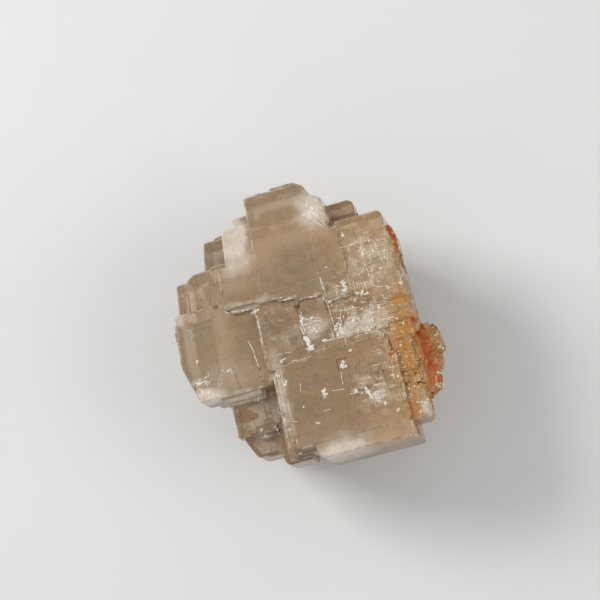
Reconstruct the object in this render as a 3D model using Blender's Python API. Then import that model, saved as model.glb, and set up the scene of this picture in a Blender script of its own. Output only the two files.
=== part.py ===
"""Halite: a cluster of cubic crystals grown together in parallel, with a granular iron-stained rim.

The cluster is one solid. It lies on a flat cube face, so that the floor is the plane z = 0. X runs
along one cube edge and Y along another, and Z points out of the largest face. Every block below is
a cuboid of that lattice, given by the planes that bound it in millimetres. Blocks overlap freely,
and one exact union joins them, so that what stays visible is the stepped outside of the cluster.
"""

import math
import random
from dataclasses import dataclass

import bmesh
import bpy
from mathutils import Euler, Matrix, Vector

MM = 0.001

NODE = "halite_cluster"

# Driving sizes, in millimetres.
CLUSTER_HEIGHT = 40.0
EDGE_BEVEL = 0.45
TERRACE_BEVEL = 0.22
GRAIN_SIZES = (1.7, 3.4)
GRAINS_PER_LUMP = 12
GRAIN_SUNK = 0.72
GRAIN_TURN = 0.6
GRAIN_HEIGHTS = (-0.5, 0.8)
GRAIN_BEARINGS = (-1.9, 1.2)
LUMP_ROUGHNESS = 0.2
CRUST_COLUMNS = 3
CRUST_ROWS = 9
CRUST_TURN = 0.22
CRUST_UNEVEN = (-0.5, 0.6)
IN_CELL = (0.2, 0.8)
PIT_STEPS = 3
PIT_OVERCUT = 0.5

# Levels of the largest faces above the floor, in millimetres.
CREST = CLUSTER_HEIGHT
PLATE_FACE = CREST - 0.06
CENTRE_FACE = CREST - 0.8
RIGHT_FACE = CREST - 0.6
LEFT_FACE = CREST - 2.6
LOW_FACE = CREST - 6.0
BACK_FACE = CREST - 10.5

COLOUR_SALT = (0.35, 0.26, 0.17, 1.0)
SALT_ROUGHNESS = 0.18
SALT_IOR = 1.544
SALT_TRANSMISSION = 0.85


@dataclass(frozen=True)
class Cut:
    """A corner of a block's outline taken off: which corner, and how far along X and along Y."""

    corner: str
    along_x: float
    along_y: float


@dataclass(frozen=True)
class Block:
    """One cuboid of the lattice, in millimetres.

    x, y and z are its bounding planes. lean is how far the outline is shifted towards -X for each
    millimetre down from its upper (+Y) edge, and cuts are corners that are missing.
    """

    x: tuple[float, float]
    y: tuple[float, float]
    z: tuple[float, float]
    lean: float = 0.0
    bevel: float = EDGE_BEVEL
    cuts: tuple[Cut, ...] = ()


CORNER_SIGNS = {
    "upper left": (-1, 1),
    "upper right": (1, 1),
    "lower left": (-1, -1),
    "lower right": (1, -1),
}

UPPER_BLOCKS = (
    # The tower that stands out at the top, and the wide plate it runs down into, whose lower edge
    # is a flight of low steps.
    Block((-8.4, 6.7), (9.0, 33.7), (26.0, CREST), 0.05, cuts=(Cut("upper right", 2.3, 1.0),)),
    Block((-1.9, 5.9), (20.0, 34.4), (27.4, CREST - 0.6), 0.02, cuts=(Cut("upper right", 1.9, 1.2),)),
    Block((-7.6, 7.0), (8.0, 29.6), (15.0, CREST - 2.4)),
    Block((-10.4, 12.4), (10.2, 20.8), (14.0, PLATE_FACE), cuts=(Cut("upper left", 1.6, 1.4),)),
    Block((-11.0, -4.7), (7.3, 12.0), (18.0, PLATE_FACE)),
    Block((-6.0, -0.4), (6.45, 12.0), (18.0, PLATE_FACE)),
    Block((-1.6, 5.7), (5.45, 12.0), (18.0, PLATE_FACE)),
    Block((4.9, 12.2), (3.3, 11.4), (18.0, PLATE_FACE - 0.12)),
    Block((9.8, 13.3), (4.4, 17.7), (24.0, PLATE_FACE - 0.7)),
    # The milky shoulders on both sides of the tower.
    Block((3.4, 10.2), (10.6, 29.9), (26.5, PLATE_FACE), cuts=(Cut("upper right", 2.2, 1.5),)),
    Block((-15.6, -6.7), (16.9, 27.5), (17.0, PLATE_FACE - 0.45), 0.08),
    Block((-12.6, -6.3), (15.6, 29.8), (21.0, PLATE_FACE - 1.25), 0.08),
    Block((-18.4, -7.6), (8.05, 18.1), (16.0, PLATE_FACE), 0.08),
    Block((-17.8, -8.6), (6.8, 12.0), (24.0, PLATE_FACE - 1.25)),
    # Darker cubes further back.
    Block((-22.6, -12.0), (16.0, 28.7), (15.0, BACK_FACE), 0.17),
    Block((-20.0, -14.0), (18.0, 29.6), (18.0, BACK_FACE - 1.1), 0.10),
    Block((7.8, 16.1), (12.0, 29.2), (24.5, BACK_FACE + 0.6), cuts=(Cut("upper right", 0.9, 0.9),)),
    Block((7.0, 16.4), (10.0, 26.6), (21.5, BACK_FACE - 2.9)),
)

LEFT_BLOCKS = (
    # The largest cube on the left, with its cut-off corner, and the terraces on it and below it.
    Block((-32.15, -10.6), (-12.05, 10.45), (28.5, LEFT_FACE), 0.05, cuts=(Cut("lower left", 3.4, 9.8),)),
    Block((-31.75, -22.15), (-7.15, 10.15), (29.0, LEFT_FACE + 0.12), 0.05, cuts=(Cut("lower left", 1.6, 4.6),)),
    Block((-24.05, -11.2), (-5.75, 10.15), (24.0, LEFT_FACE + 0.12), 0.05),
    Block((-15.05, -11.2), (-11.25, -0.45), (24.0, LEFT_FACE + 0.35), -0.1),
    Block((-25.65, -15.0), (-13.35, -8.0), (28.0, LEFT_FACE - 1.2), cuts=(Cut("lower left", 1.6, 1.6),)),
    Block((-24.45, -14.4), (-14.15, -7.0), (28.5, LEFT_FACE - 2.5), cuts=(Cut("lower left", 1.2, 1.0),)),
    # The cubes behind its upper side.
    Block((-30.7, -14.0), (9.4, 18.9), (22.0, LOW_FACE - 0.6), 0.11),
    Block((-27.8, -14.0), (8.8, 20.4), (19.5, LOW_FACE), 0.10, cuts=(Cut("upper left", 2.0, 1.5),)),
    Block((-21.4, -13.0), (8.4, 20.8), (18.0, LOW_FACE + 0.7), 0.06),
    Block((-29.6, -12.0), (-5.6, 9.6), (13.5, 27.5), 0.04),
)

CENTRE_BLOCKS = (
    # The wide lower plate: its left side goes down in narrow steps, and its upper edge is ragged.
    Block((-9.3, 17.5), (-29.05, -8.4), (21.0, CENTRE_FACE), -0.005),
    Block((-10.3, -4.0), (-27.15, -8.85), (21.0, CENTRE_FACE - 0.4)),
    Block((-11.3, -4.0), (-28.55, -9.95), (20.5, CENTRE_FACE - 0.9)),
    Block((-1.4, 17.0), (-24.0, -7.0), (22.0, CENTRE_FACE)),
    Block((3.2, 8.2), (-22.0, -5.5), (22.5, CENTRE_FACE)),
    Block((7.4, 16.4), (-23.0, -6.2), (23.0, CENTRE_FACE)),
    Block((-4.8, 18.6), (-32.45, -12.0), (21.6, CENTRE_FACE - 0.15), cuts=(Cut("lower left", 1.1, 2.2),)),
    Block((-8.6, 15.0), (-26.0, -4.0), (16.0, CENTRE_FACE - 1.5)),
    # The row of narrow cubes between it and the upper plate.
    Block((-12.0, -1.5), (-9.2, 8.0), (18.0, CENTRE_FACE - 0.45), 0.02),
    Block((-2.0, 5.4), (-9.0, 7.0), (18.0, CENTRE_FACE - 0.3)),
    Block((4.9, 12.9), (-8.6, 0.9), (18.0, CENTRE_FACE - 0.8)),
    Block((5.2, 17.0), (0.6, 5.5), (18.0, CENTRE_FACE - 0.35)),
    Block((11.8, 17.6), (-8.8, 1.2), (18.0, CENTRE_FACE - 1.05)),
)

RIGHT_BLOCKS = (
    # The upper corner, the lattice of thin terraces under it, and the stained side.
    Block((11.4, 23.28), (15.1, 21.92), (29.5, RIGHT_FACE + 0.1), cuts=(Cut("upper right", 1.0, 0.9),)),
    Block((10.6, 23.78), (-0.1, 16.0), (27.0, RIGHT_FACE - 0.35), -0.03),
    Block((11.6, 16.7), (6.5, 15.9), (24.0, RIGHT_FACE - 0.12)),
    Block((13.4, 20.0), (9.0, 15.8), (24.0, RIGHT_FACE - 0.02)),
    Block((18.1, 21.4), (4.6, 12.2), (24.0, RIGHT_FACE - 0.2)),
    Block((9.9, 24.48), (-5.2, 5.8), (26.0, RIGHT_FACE - 0.9), -0.03),
    Block((13.2, 23.8), (-9.3, 2.1), (25.0, RIGHT_FACE - 1.6)),
    Block((15.2, 22.6), (-17.1, -4.5), (22.0, RIGHT_FACE - 1.7)),
    Block((14.0, 21.5), (-24.0, -12.5), (20.0, RIGHT_FACE - 2.3)),
    Block((9.0, 24.2), (-5.0, 19.0), (24.0, RIGHT_FACE - 4.7), -0.02),
    Block((12.0, 21.6), (-14.0, 15.0), (18.5, RIGHT_FACE - 9.5)),
)

LOWER_BLOCKS = (
    # The ledges under the wide plate, down to the lower left corner.
    Block((-14.3, -7.2), (-30.8, -22.0), (23.0, BACK_FACE + 2.4), cuts=(Cut("lower left", 0.9, 1.6),)),
    Block((-12.6, -5.0), (-29.8, -20.0), (21.5, BACK_FACE + 4.6), cuts=(Cut("lower left", 1.0, 1.2),)),
    Block((-22.3, -9.0), (-27.1, -10.0), (20.5, BACK_FACE + 1.3), 0.03, cuts=(Cut("lower left", 2.4, 4.6),)),
    Block((-20.6, -9.0), (-23.4, -11.0), (19.0, BACK_FACE + 2.4), 0.04, cuts=(Cut("lower left", 2.6, 3.4),)),
    Block((-19.2, -12.4), (-27.4, -18.0), (22.0, BACK_FACE + 0.5), cuts=(Cut("lower left", 1.0, 1.2),)),
    Block((-18.2, -10.0), (-19.0, -12.6), (21.0, BACK_FACE + 3.9), 0.05),
    Block((-15.3, -10.2), (-27.7, -18.0), (23.0, BACK_FACE + 1.9)),
    Block((15.4, 21.9), (-26.9, -18.0), (19.0, BACK_FACE - 1.6)),
    Block((13.6, 22.9), (-28.7, -21.0), (27.0, CENTRE_FACE - 1.3), cuts=(Cut("lower right", 0.7, 0.9),)),
)

BACK_BLOCKS = (
    # The body behind the faces, and the flat cube face that the cluster rests on.
    Block((-23.6, 18.2), (-22.0, 19.6), (7.0, 33.4)),
    Block((-22.4, 13.4), (-19.2, 17.2), (0.0, 12.0)),
    Block((-16.4, 15.6), (-21.4, 9.4), (1.6, 14.0)),
    Block((-27.2, 8.8), (-12.4, 20.6), (2.7, 15.0)),
    Block((-29.8, -14.0), (-9.2, 6.6), (4.1, 24.0)),
    Block((-27.9, -12.0), (3.0, 16.6), (5.6, 20.0)),
    Block((-12.4, 9.8), (8.0, 29.4), (3.4, 20.0)),
    Block((-7.2, 7.9), (16.0, 31.4), (8.6, 27.0)),
    Block((-21.8, -5.0), (10.0, 26.9), (6.2, 22.0)),
    Block((9.0, 18.4), (-13.0, 12.2), (4.3, 23.0)),
    Block((8.4, 18.9), (6.0, 22.6), (9.4, 30.0)),
    Block((-15.8, 7.6), (-26.9, -14.0), (4.9, 21.0)),
    Block((-3.6, 13.8), (-28.1, -17.0), (11.2, 24.0)),
    Block((-24.0, -8.0), (-21.4, -6.0), (5.8, 24.0)),
    Block((8.0, 18.6), (-24.6, -8.0), (8.3, 25.0)),
    Block((4.0, 16.8), (-22.9, -4.0), (3.0, 12.0)),
)

# Square hopper pits in the faces: centre X, centre Y, side, depth, and the face they are sunk in.
HOPPER_PITS = (
    (5.8, -12.0, 2.7, 0.9, CENTRE_FACE),
    (13.5, -16.6, 3.3, 0.8, CENTRE_FACE),
    (10.5, -20.4, 2.6, 0.8, CENTRE_FACE),
    (19.2, 9.6, 1.8, 0.6, RIGHT_FACE - 0.02),
)

# Rounded lumps of the granular rim: centre, and half sizes along X, Y and Z.
RIM_LUMPS = (
    ((23.9, -10.0, 26.6), (5.6, 5.9, 6.4)),
    ((21.8, -17.6, 25.0), (4.9, 5.2, 6.6)),
    ((20.9, -13.2, 32.8), (4.2, 7.4, 4.0)),
    ((21.2, -4.8, 29.0), (4.4, 5.4, 5.6)),
    ((24.7, -13.9, 25.6), (3.5, 3.8, 4.2)),
)

# Small cubes on the walls: for each wall, where its face lies, how far along it the cubes are
# spread, and the heights between which they sit.
WALLS = (
    ("X", -1, -29.0, (-8.0, 5.0), (7.0, 22.0)),
    ("X", -1, -27.4, (6.0, 15.0), (8.0, 17.0)),
    ("Y", 1, 29.0, (-9.0, 6.0), (8.0, 18.0)),
    ("Y", 1, 26.6, (-19.0, -9.0), (9.0, 19.0)),
    ("X", 1, 18.2, (-10.0, 9.0), (9.0, 19.0)),
    ("Y", -1, -26.6, (-13.0, 5.0), (9.0, 17.0)),
    ("X", 1, 18.6, (-21.0, -11.0), (12.0, 19.0)),
)
CUBES_PER_WALL = 4
WALL_CUBE_SIZES = (4.0, 8.5)
WALL_CUBE_PROUD = (0.4, 1.5)
WALL_CUBE_STRETCH = (0.7, 1.2)

# The granular crust between the lumps and the wide plate: its X and Y range and its surface level.
CRUST_X = (15.6, 22.2)
CRUST_Y = (-22.6, -1.0)
CRUST_LEVEL = RIGHT_FACE - 1.5
CRUST_FALL = 0.11


def clear_scene():
    """Remove the objects that the file opened with."""
    for scene_object in list(bpy.data.objects):
        bpy.data.objects.remove(scene_object, do_unlink=True)


def salt_material():
    """The pale brown, see-through salt."""
    material = bpy.data.materials.new("salt")
    material.use_nodes = True
    shader = material.node_tree.nodes["Principled BSDF"]
    shader.inputs["Base Color"].default_value = COLOUR_SALT
    shader.inputs["Roughness"].default_value = SALT_ROUGHNESS
    shader.inputs["Metallic"].default_value = 0.0
    shader.inputs["IOR"].default_value = SALT_IOR
    shader.inputs["Transmission Weight"].default_value = SALT_TRANSMISSION
    material.diffuse_color = COLOUR_SALT
    return material


def cut_corner(mesh, block, cut):
    """Slice one upright corner off a block's mesh and close the slice."""
    sign_x, sign_y = CORNER_SIGNS[cut.corner]
    corner_x = block.x[1] if sign_x > 0 else block.x[0]
    corner_y = block.y[1] if sign_y > 0 else block.y[0]
    on_cut = Vector((corner_x - sign_x * cut.along_x, corner_y, 0.0))
    outward = Vector((sign_x * cut.along_y, sign_y * cut.along_x, 0.0)).normalized()
    geometry = mesh.verts[:] + mesh.edges[:] + mesh.faces[:]
    slice_plane = {"plane_co": on_cut, "plane_no": outward}
    result = bmesh.ops.bisect_plane(mesh, geom=geometry, clear_outer=True, **slice_plane)
    rim = [part for part in result["geom_cut"] if isinstance(part, bmesh.types.BMEdge)]
    bmesh.ops.edgeloop_fill(mesh, edges=rim)


def lean_outline(mesh, block):
    """Shear the outline along X."""
    for vertex in mesh.verts:
        vertex.co.x -= block.lean * (block.y[1] - vertex.co.y)


def block_mesh(block):
    """A bevelled cuboid between the block's planes, in millimetres."""
    mesh = bmesh.new()
    lows = Vector((block.x[0], block.y[0], block.z[0]))
    highs = Vector((block.x[1], block.y[1], block.z[1]))
    sizes = highs - lows
    place = Matrix.Translation((lows + highs) / 2) @ Matrix.Diagonal((*sizes, 1.0))
    bmesh.ops.create_cube(mesh, size=1.0, matrix=place)
    for cut in block.cuts:
        cut_corner(mesh, block, cut)
    lean_outline(mesh, block)
    bmesh.ops.bevel(
        mesh,
        geom=mesh.edges[:],
        offset=block.bevel,
        offset_type="OFFSET",
        segments=1,
        profile=0.5,
        affect="EDGES",
    )
    return mesh


def grain_mesh(centre, size, turn):
    """A small cube of the granular rim, turned its own way."""
    mesh = bmesh.new()
    place = Matrix.Translation(centre) @ turn.to_matrix().to_4x4()
    bmesh.ops.create_cube(mesh, size=size, matrix=place)
    return mesh


def pit_mesh(centre_x, centre_y, side, depth, face):
    """An inverted stepped pyramid: square steps that narrow as they go down."""
    mesh = bmesh.new()
    for step in range(PIT_STEPS):
        width = side * (1.0 - step / (PIT_STEPS + 0.5))
        low = face - depth * (step + 1) / PIT_STEPS
        high = face + PIT_OVERCUT
        place = Matrix.Translation((centre_x, centre_y, (low + high) / 2))
        bmesh.ops.create_cube(mesh, size=1.0, matrix=place @ Matrix.Diagonal((width, width, high - low, 1.0)))
    return mesh


def add_object(name, mesh):
    """Turn a bmesh in millimetres into an object in metres."""
    bmesh.ops.scale(mesh, vec=(MM, MM, MM), verts=mesh.verts)
    bmesh.ops.recalc_face_normals(mesh, faces=mesh.faces[:])
    data = bpy.data.meshes.new(name)
    mesh.to_mesh(data)
    mesh.free()
    made = bpy.data.objects.new(name, data)
    bpy.context.scene.collection.objects.link(made)
    return made


def wall_blocks():
    """Cuboids that stand a little proud of the walls, none of them in one plane with another."""
    chance = random.Random(5)
    blocks = []
    for axis, outward, face, (low, high), (bottom, top) in WALLS:
        for index in range(CUBES_PER_WALL):
            share = (index + chance.uniform(*IN_CELL)) / CUBES_PER_WALL
            along = low + share * (high - low)
            height = chance.uniform(bottom, top)
            half = chance.uniform(*WALL_CUBE_SIZES) / 2
            tall = half * chance.uniform(*WALL_CUBE_STRETCH)
            proud = face + outward * chance.uniform(*WALL_CUBE_PROUD)
            deep = face - outward * 2.0 * half
            across = (min(proud, deep), max(proud, deep))
            lengthwise = (along - half, along + half)
            upright = (height - tall, height + tall)
            pair = (across, lengthwise) if axis == "X" else (lengthwise, across)
            blocks.append(Block(*pair, upright, bevel=TERRACE_BEVEL))
    return blocks


def lump_mesh(centre, half_sizes, seed):
    """An angular lump: a coarse ball, stretched, with each corner pushed in or out a little."""
    chance = random.Random(seed)
    mesh = bmesh.new()
    place = Matrix.Translation(centre) @ Matrix.Diagonal((*half_sizes, 1.0))
    ball = bmesh.ops.create_icosphere(mesh, subdivisions=2, radius=1.0, matrix=place)
    middle = Vector(centre)
    for vertex in ball["verts"]:
        vertex.co = middle + (vertex.co - middle) * chance.uniform(1.0 - LUMP_ROUGHNESS, 1.0)
    return mesh


def rim_grains():
    """Centres, sizes and turns of the grains that stick out of the rim's lumps."""
    chance = random.Random(7)
    grains = []
    for centre, half_sizes in RIM_LUMPS:
        for _ in range(GRAINS_PER_LUMP):
            height = chance.uniform(*GRAIN_HEIGHTS)
            around = chance.uniform(*GRAIN_BEARINGS)
            ring = math.sqrt(1.0 - height * height)
            way = Vector((ring * math.cos(around), ring * math.sin(around), height))
            size = chance.uniform(*GRAIN_SIZES)
            spot = Vector(centre) + Vector(way[i] * (half_sizes[i] - GRAIN_SUNK * size) for i in range(3))
            turn = Euler([chance.uniform(-GRAIN_TURN, GRAIN_TURN) for _ in range(3)])
            grains.append((spot, size, turn))
    return grains


def crust_grains():
    """Centres, sizes and turns of the cubes in the crust, on a loose grid that falls away to +X."""
    chance = random.Random(23)
    grains = []
    for row in range(CRUST_ROWS):
        for column in range(CRUST_COLUMNS):
            across = (column + chance.uniform(*IN_CELL)) / CRUST_COLUMNS
            along = (row + chance.uniform(*IN_CELL)) / CRUST_ROWS
            x = CRUST_X[0] + across * (CRUST_X[1] - CRUST_X[0])
            y = CRUST_Y[1] + along * (CRUST_Y[0] - CRUST_Y[1])
            size = chance.uniform(*GRAIN_SIZES)
            fall = CRUST_FALL * (x - CRUST_X[0]) * (1.0 + along)
            top = CRUST_LEVEL - fall + chance.uniform(*CRUST_UNEVEN)
            turn = Euler([chance.uniform(-CRUST_TURN, CRUST_TURN) for _ in range(3)])
            grains.append((Vector((x, y, top - size / 2)), size, turn))
    return grains


def apply_boolean(target, tools, operation):
    """Join to, or cut from, the target each of the tools, and remove the tools."""
    for tool in tools:
        step = target.modifiers.new("step", "BOOLEAN")
        step.operation = operation
        step.solver = "EXACT"
        step.object = tool
        depsgraph = bpy.context.evaluated_depsgraph_get()
        joined = bpy.data.meshes.new_from_object(target.evaluated_get(depsgraph))
        target.modifiers.clear()
        target.data = joined
        bpy.data.objects.remove(tool, do_unlink=True)


def centre_on_origin(cluster):
    """Shift the mesh so that the middle of its lowest plane is the origin."""
    spots = [vertex.co for vertex in cluster.data.vertices]
    lows = Vector(min(spot[i] for spot in spots) for i in range(3))
    highs = Vector(max(spot[i] for spot in spots) for i in range(3))
    middle = (lows + highs) / 2
    cluster.data.transform(Matrix.Translation((-middle.x, -middle.y, -lows.z)))


def build_cluster():
    """Union all the blocks and grains, sink the pits, and colour the result."""
    blocks = BACK_BLOCKS + CENTRE_BLOCKS + UPPER_BLOCKS + LEFT_BLOCKS + RIGHT_BLOCKS + LOWER_BLOCKS
    cluster = add_object(NODE, block_mesh(blocks[0]))
    joins = [add_object("join", block_mesh(block)) for block in blocks[1:] + tuple(wall_blocks())]
    joins += [add_object("join", lump_mesh(*lump, seed)) for seed, lump in enumerate(RIM_LUMPS)]
    joins += [add_object("join", grain_mesh(*grain)) for grain in rim_grains() + crust_grains()]
    apply_boolean(cluster, joins, "UNION")
    pits = [add_object("pit", pit_mesh(*pit)) for pit in HOPPER_PITS]
    apply_boolean(cluster, pits, "DIFFERENCE")
    centre_on_origin(cluster)
    cluster.data.materials.clear()
    cluster.data.materials.append(salt_material())
    return cluster


def main():
    """Build the part."""
    clear_scene()
    build_cluster()


main()
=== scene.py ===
"""Halite cluster: the dressed model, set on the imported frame.

The cluster is one body of salt: cubes grown together in parallel, with cleavage flakes in its
faces and a granular, iron-stained rim. Lengths in the tables are millimetres in the frame of the
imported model: X and Y along the cube edges, Z up off the face that the cluster rests on.
"""

import logging
import math
import random
from collections.abc import Callable, Iterator
from contextlib import contextmanager
from dataclasses import dataclass
from enum import Enum
from functools import reduce

import bpy
from mathutils import Euler, Matrix, Vector, noise
from mathutils.bvhtree import BVHTree


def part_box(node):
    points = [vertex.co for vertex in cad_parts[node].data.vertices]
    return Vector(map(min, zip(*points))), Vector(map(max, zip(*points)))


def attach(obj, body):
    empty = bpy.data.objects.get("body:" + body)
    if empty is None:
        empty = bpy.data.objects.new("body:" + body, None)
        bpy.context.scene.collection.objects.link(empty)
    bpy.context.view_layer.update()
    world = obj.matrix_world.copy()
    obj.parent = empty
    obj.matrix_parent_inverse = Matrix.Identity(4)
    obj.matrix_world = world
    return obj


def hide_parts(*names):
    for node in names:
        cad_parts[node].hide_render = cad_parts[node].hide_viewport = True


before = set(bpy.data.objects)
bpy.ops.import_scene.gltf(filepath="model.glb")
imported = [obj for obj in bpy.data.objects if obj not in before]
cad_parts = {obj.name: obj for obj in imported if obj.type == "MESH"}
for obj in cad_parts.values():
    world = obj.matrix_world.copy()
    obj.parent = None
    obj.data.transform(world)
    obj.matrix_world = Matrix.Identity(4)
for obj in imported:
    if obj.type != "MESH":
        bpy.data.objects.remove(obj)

log = logging.getLogger("halite")

MM = 0.001
BODY = "root"
CLUSTER_NODE = "halite_cluster"
CREST = 40.0
HALITE_IOR = 1.544
EASED = {"interpolation_type": "SMOOTHSTEP"}

Pair = tuple[float, float]
Triple = tuple[float, float, float]
Colour = tuple[float, float, float, float]
Piece = bpy.types.Object
Socket = bpy.types.NodeSocket
Settings = dict[str, object]
Sockets = dict[int | str, object]


class Operation(Enum):
    """What a tool does to the body it is applied to."""

    JOIN = "UNION"
    CUT = "DIFFERENCE"


class Number:
    """A number that varies over a surface; its operators add Math nodes."""

    def __init__(self, graph: "Graph", socket: Socket) -> None:
        """Wrap one socket of a graph."""
        self.graph = graph
        self.socket = socket

    def maths(self, operation: str, *values: object) -> "Number":
        """Add one Math node, on numbers or sockets."""
        settings = {"operation": operation}
        return self.graph.number("ShaderNodeMath", 0, settings, dict(enumerate(values)))

    def __add__(self, other: object) -> "Number":
        """Sum."""
        return self.maths("ADD", self, other)

    def __radd__(self, other: object) -> "Number":
        """Sum, reflected."""
        return self.maths("ADD", other, self)

    def __sub__(self, other: object) -> "Number":
        """Difference."""
        return self.maths("SUBTRACT", self, other)

    def __rsub__(self, other: object) -> "Number":
        """Difference, reflected."""
        return self.maths("SUBTRACT", other, self)

    def __mul__(self, other: object) -> "Number":
        """Product."""
        return self.maths("MULTIPLY", self, other)

    def __rmul__(self, other: object) -> "Number":
        """Product, reflected."""
        return self.maths("MULTIPLY", other, self)

    def most(self, other: object) -> "Number":
        """The larger of two numbers."""
        return self.maths("MAXIMUM", self, other)

    def least(self, other: object) -> "Number":
        """The smaller of two numbers."""
        return self.maths("MINIMUM", self, other)

    def between(self, low: float, high: float) -> "Number":
        """Run from 0 at low to 1 at high, eased at both ends; high may be the smaller."""
        sockets = {"Value": self, "From Min": low, "From Max": high}
        return self.graph.number("ShaderNodeMapRange", "Result", EASED, sockets)


@dataclass(frozen=True)
class Zone:
    """A soft-edged ellipsoid of the salt.

    middle and half give its place and half lengths, soft is the width of its blurred edge, and
    amount is how strong it is at the middle.
    """

    middle: Triple
    half: Triple
    soft: float
    amount: float


class Graph:
    """The node tree of one material."""

    def __init__(self, name: str) -> None:
        """Make an empty material.

        Args:
            name: The material's name.
        """
        self.material = bpy.data.materials.new(name)
        self.material.use_nodes = True
        self.tree = self.material.node_tree
        self.tree.nodes.clear()

    def add(self, kind: str, settings: Settings, sockets: Sockets) -> bpy.types.Node:
        """Add any node.

        Args:
            kind: The node's type.
            settings: Its own settings, set first; "stops" fills a ramp.
            sockets: Values or links of its inputs, by name or place.

        Returns:
            The new node.
        """
        node = self.tree.nodes.new(kind)
        for name, value in settings.items():
            if name == "stops":
                self._fill_ramp(node.color_ramp, value)
            else:
                setattr(node, name, value)
        for key, value in sockets.items():
            wired = value.socket if isinstance(value, Number) else value
            if isinstance(wired, Socket):
                self.tree.links.new(wired, node.inputs[key])
            else:
                node.inputs[key].default_value = wired
        return node

    @staticmethod
    def _fill_ramp(ramp: bpy.types.ColorRamp, stops: tuple[tuple[float, Colour], ...]) -> None:
        """Give a ramp its stops.

        Args:
            ramp: The ramp, which has two stops to begin with.
            stops: Place and colour of each stop, from low to high.
        """
        while len(ramp.elements) < len(stops):
            ramp.elements.new(0.5)
        for element, (place, colour) in zip(ramp.elements, stops):
            element.position = place
            element.color = colour

    def number(self, kind: str, output: int | str, settings: Settings, sockets: Sockets) -> Number:
        """Add any node and wrap one of its outputs."""
        return Number(self, self.add(kind, settings, sockets).outputs[output])

    def vector(self, operation: str, *values: object, **named: object) -> Socket:
        """Add one Vector Math node, its operands in order or by socket name."""
        sockets = {**dict(enumerate(values)), **named}
        return self.add("ShaderNodeVectorMath", {"operation": operation}, sockets).outputs["Vector"]

    def millimetres(self) -> Socket:
        """Object coordinates in millimetres."""
        place = self.add("ShaderNodeTexCoord", {}, {}).outputs["Object"]
        return self.vector("SCALE", place, Scale=1.0 / MM)

    def split(self, place: Socket) -> tuple[Number, ...]:
        """The three parts of a vector."""
        parts = self.add("ShaderNodeSeparateXYZ", {}, {0: place}).outputs
        return tuple(Number(self, part) for part in parts)

    def attribute(self, name: str) -> Number:
        """A number that the piece carries on its faces."""
        return self.number("ShaderNodeAttribute", "Fac", {"attribute_name": name}, {})

    def noise(self, place: Socket, scale: float, detail: float = 2.0, rough: float = 0.5) -> Number:
        """Cloudy noise round 0.5; detail counts its finer layers, and rough is their strength."""
        sockets = {"Vector": place, "Scale": scale, "Detail": detail, "Roughness": rough}
        return self.number("ShaderNodeTexNoise", "Fac", {}, sockets)

    def streaks(
        self, place: Socket, scales: Triple, detail: float = 2.0, rough: float = 0.5
    ) -> Number:
        """Noise with a scale of its own along each axis."""
        return self.noise(self.vector("MULTIPLY", place, scales), 1.0, detail, rough)

    def grains(self, place: Socket, scale: float) -> Number:
        """Distance to the nearest of many scattered points, in cells."""
        sockets = {"Vector": place, "Scale": scale}
        return self.number("ShaderNodeTexVoronoi", "Distance", {}, sockets)

    def cells(self, place: Socket) -> Number:
        """A random number for each of many box-shaped cells.

        Args:
            place: The coordinates it is read at, one cell for each unit.

        Returns:
            A number from 0 to 1, even within a cell.
        """
        sockets = {"Vector": place, "Scale": 1.0, "Randomness": 0.7}
        node = self.add("ShaderNodeTexVoronoi", {"distance": "CHEBYCHEV"}, sockets)
        return self.split(node.outputs["Color"])[0]

    def warped(self, place: Socket, scale: float, reach: float) -> Socket:
        """Coordinates pushed about by noise, so that zones get uneven outlines.

        Args:
            place: The even coordinates.
            scale: Cells of the noise for each unit.
            reach: How far a point may be pushed.

        Returns:
            The pushed coordinates.
        """
        sockets = {"Vector": place, "Scale": scale, "Detail": 3.0}
        push = self.add("ShaderNodeTexNoise", {}, sockets).outputs["Color"]
        centred = self.vector("SUBTRACT", push, (0.5, 0.5, 0.5))
        return self.vector("MULTIPLY_ADD", centred, (reach, reach, reach), place)

    def ball(self, place: Socket, zone: Zone) -> Number:
        """How far inside a soft ellipsoid a point lies.

        Args:
            place: Coordinates in millimetres.
            zone: The ellipsoid.

        Returns:
            The zone's amount inside, 0 outside.
        """
        away = self.vector("DIVIDE", self.vector("SUBTRACT", place, zone.middle), zone.half)
        length = self.number("ShaderNodeVectorMath", "Value", {"operation": "LENGTH"}, {0: away})
        edge = zone.soft / min(zone.half)
        return length.between(1.0 + edge, 1.0 - edge) * zone.amount

    def within(self, place: Socket, zones: tuple[Zone, ...]) -> Number:
        """The strongest of several zones at each point."""
        return reduce(Number.most, [self.ball(place, zone) for zone in zones])

    def blend(self, share: object, first: object, second: object) -> Socket:
        """Mix two colours; share is how much of the second."""
        sockets = {0: share, 6: first, 7: second}
        return self.add("ShaderNodeMix", {"data_type": "RGBA"}, sockets).outputs[2]

    def bump(self, height: Number, strength: float, distance: float) -> Socket:
        """A normal bent by a height; distance is in metres for each unit of it."""
        sockets = {"Height": height, "Strength": strength, "Distance": distance}
        return self.add("ShaderNodeBump", {}, sockets).outputs["Normal"]

    def shader(self, **sockets: object) -> Socket:
        """Add a Principled shader; its inputs have underscores for spaces."""
        named = {name.replace("_", " "): value for name, value in sockets.items()}
        return self.add("ShaderNodeBsdfPrincipled", {}, named).outputs[0]

    def finish(self, surface: Socket, **inside: Socket) -> bpy.types.Material:
        """Wire the output, with a Volume where the piece is see-through."""
        self.add("ShaderNodeOutputMaterial", {}, {"Surface": surface, **inside})
        return self.material


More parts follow.
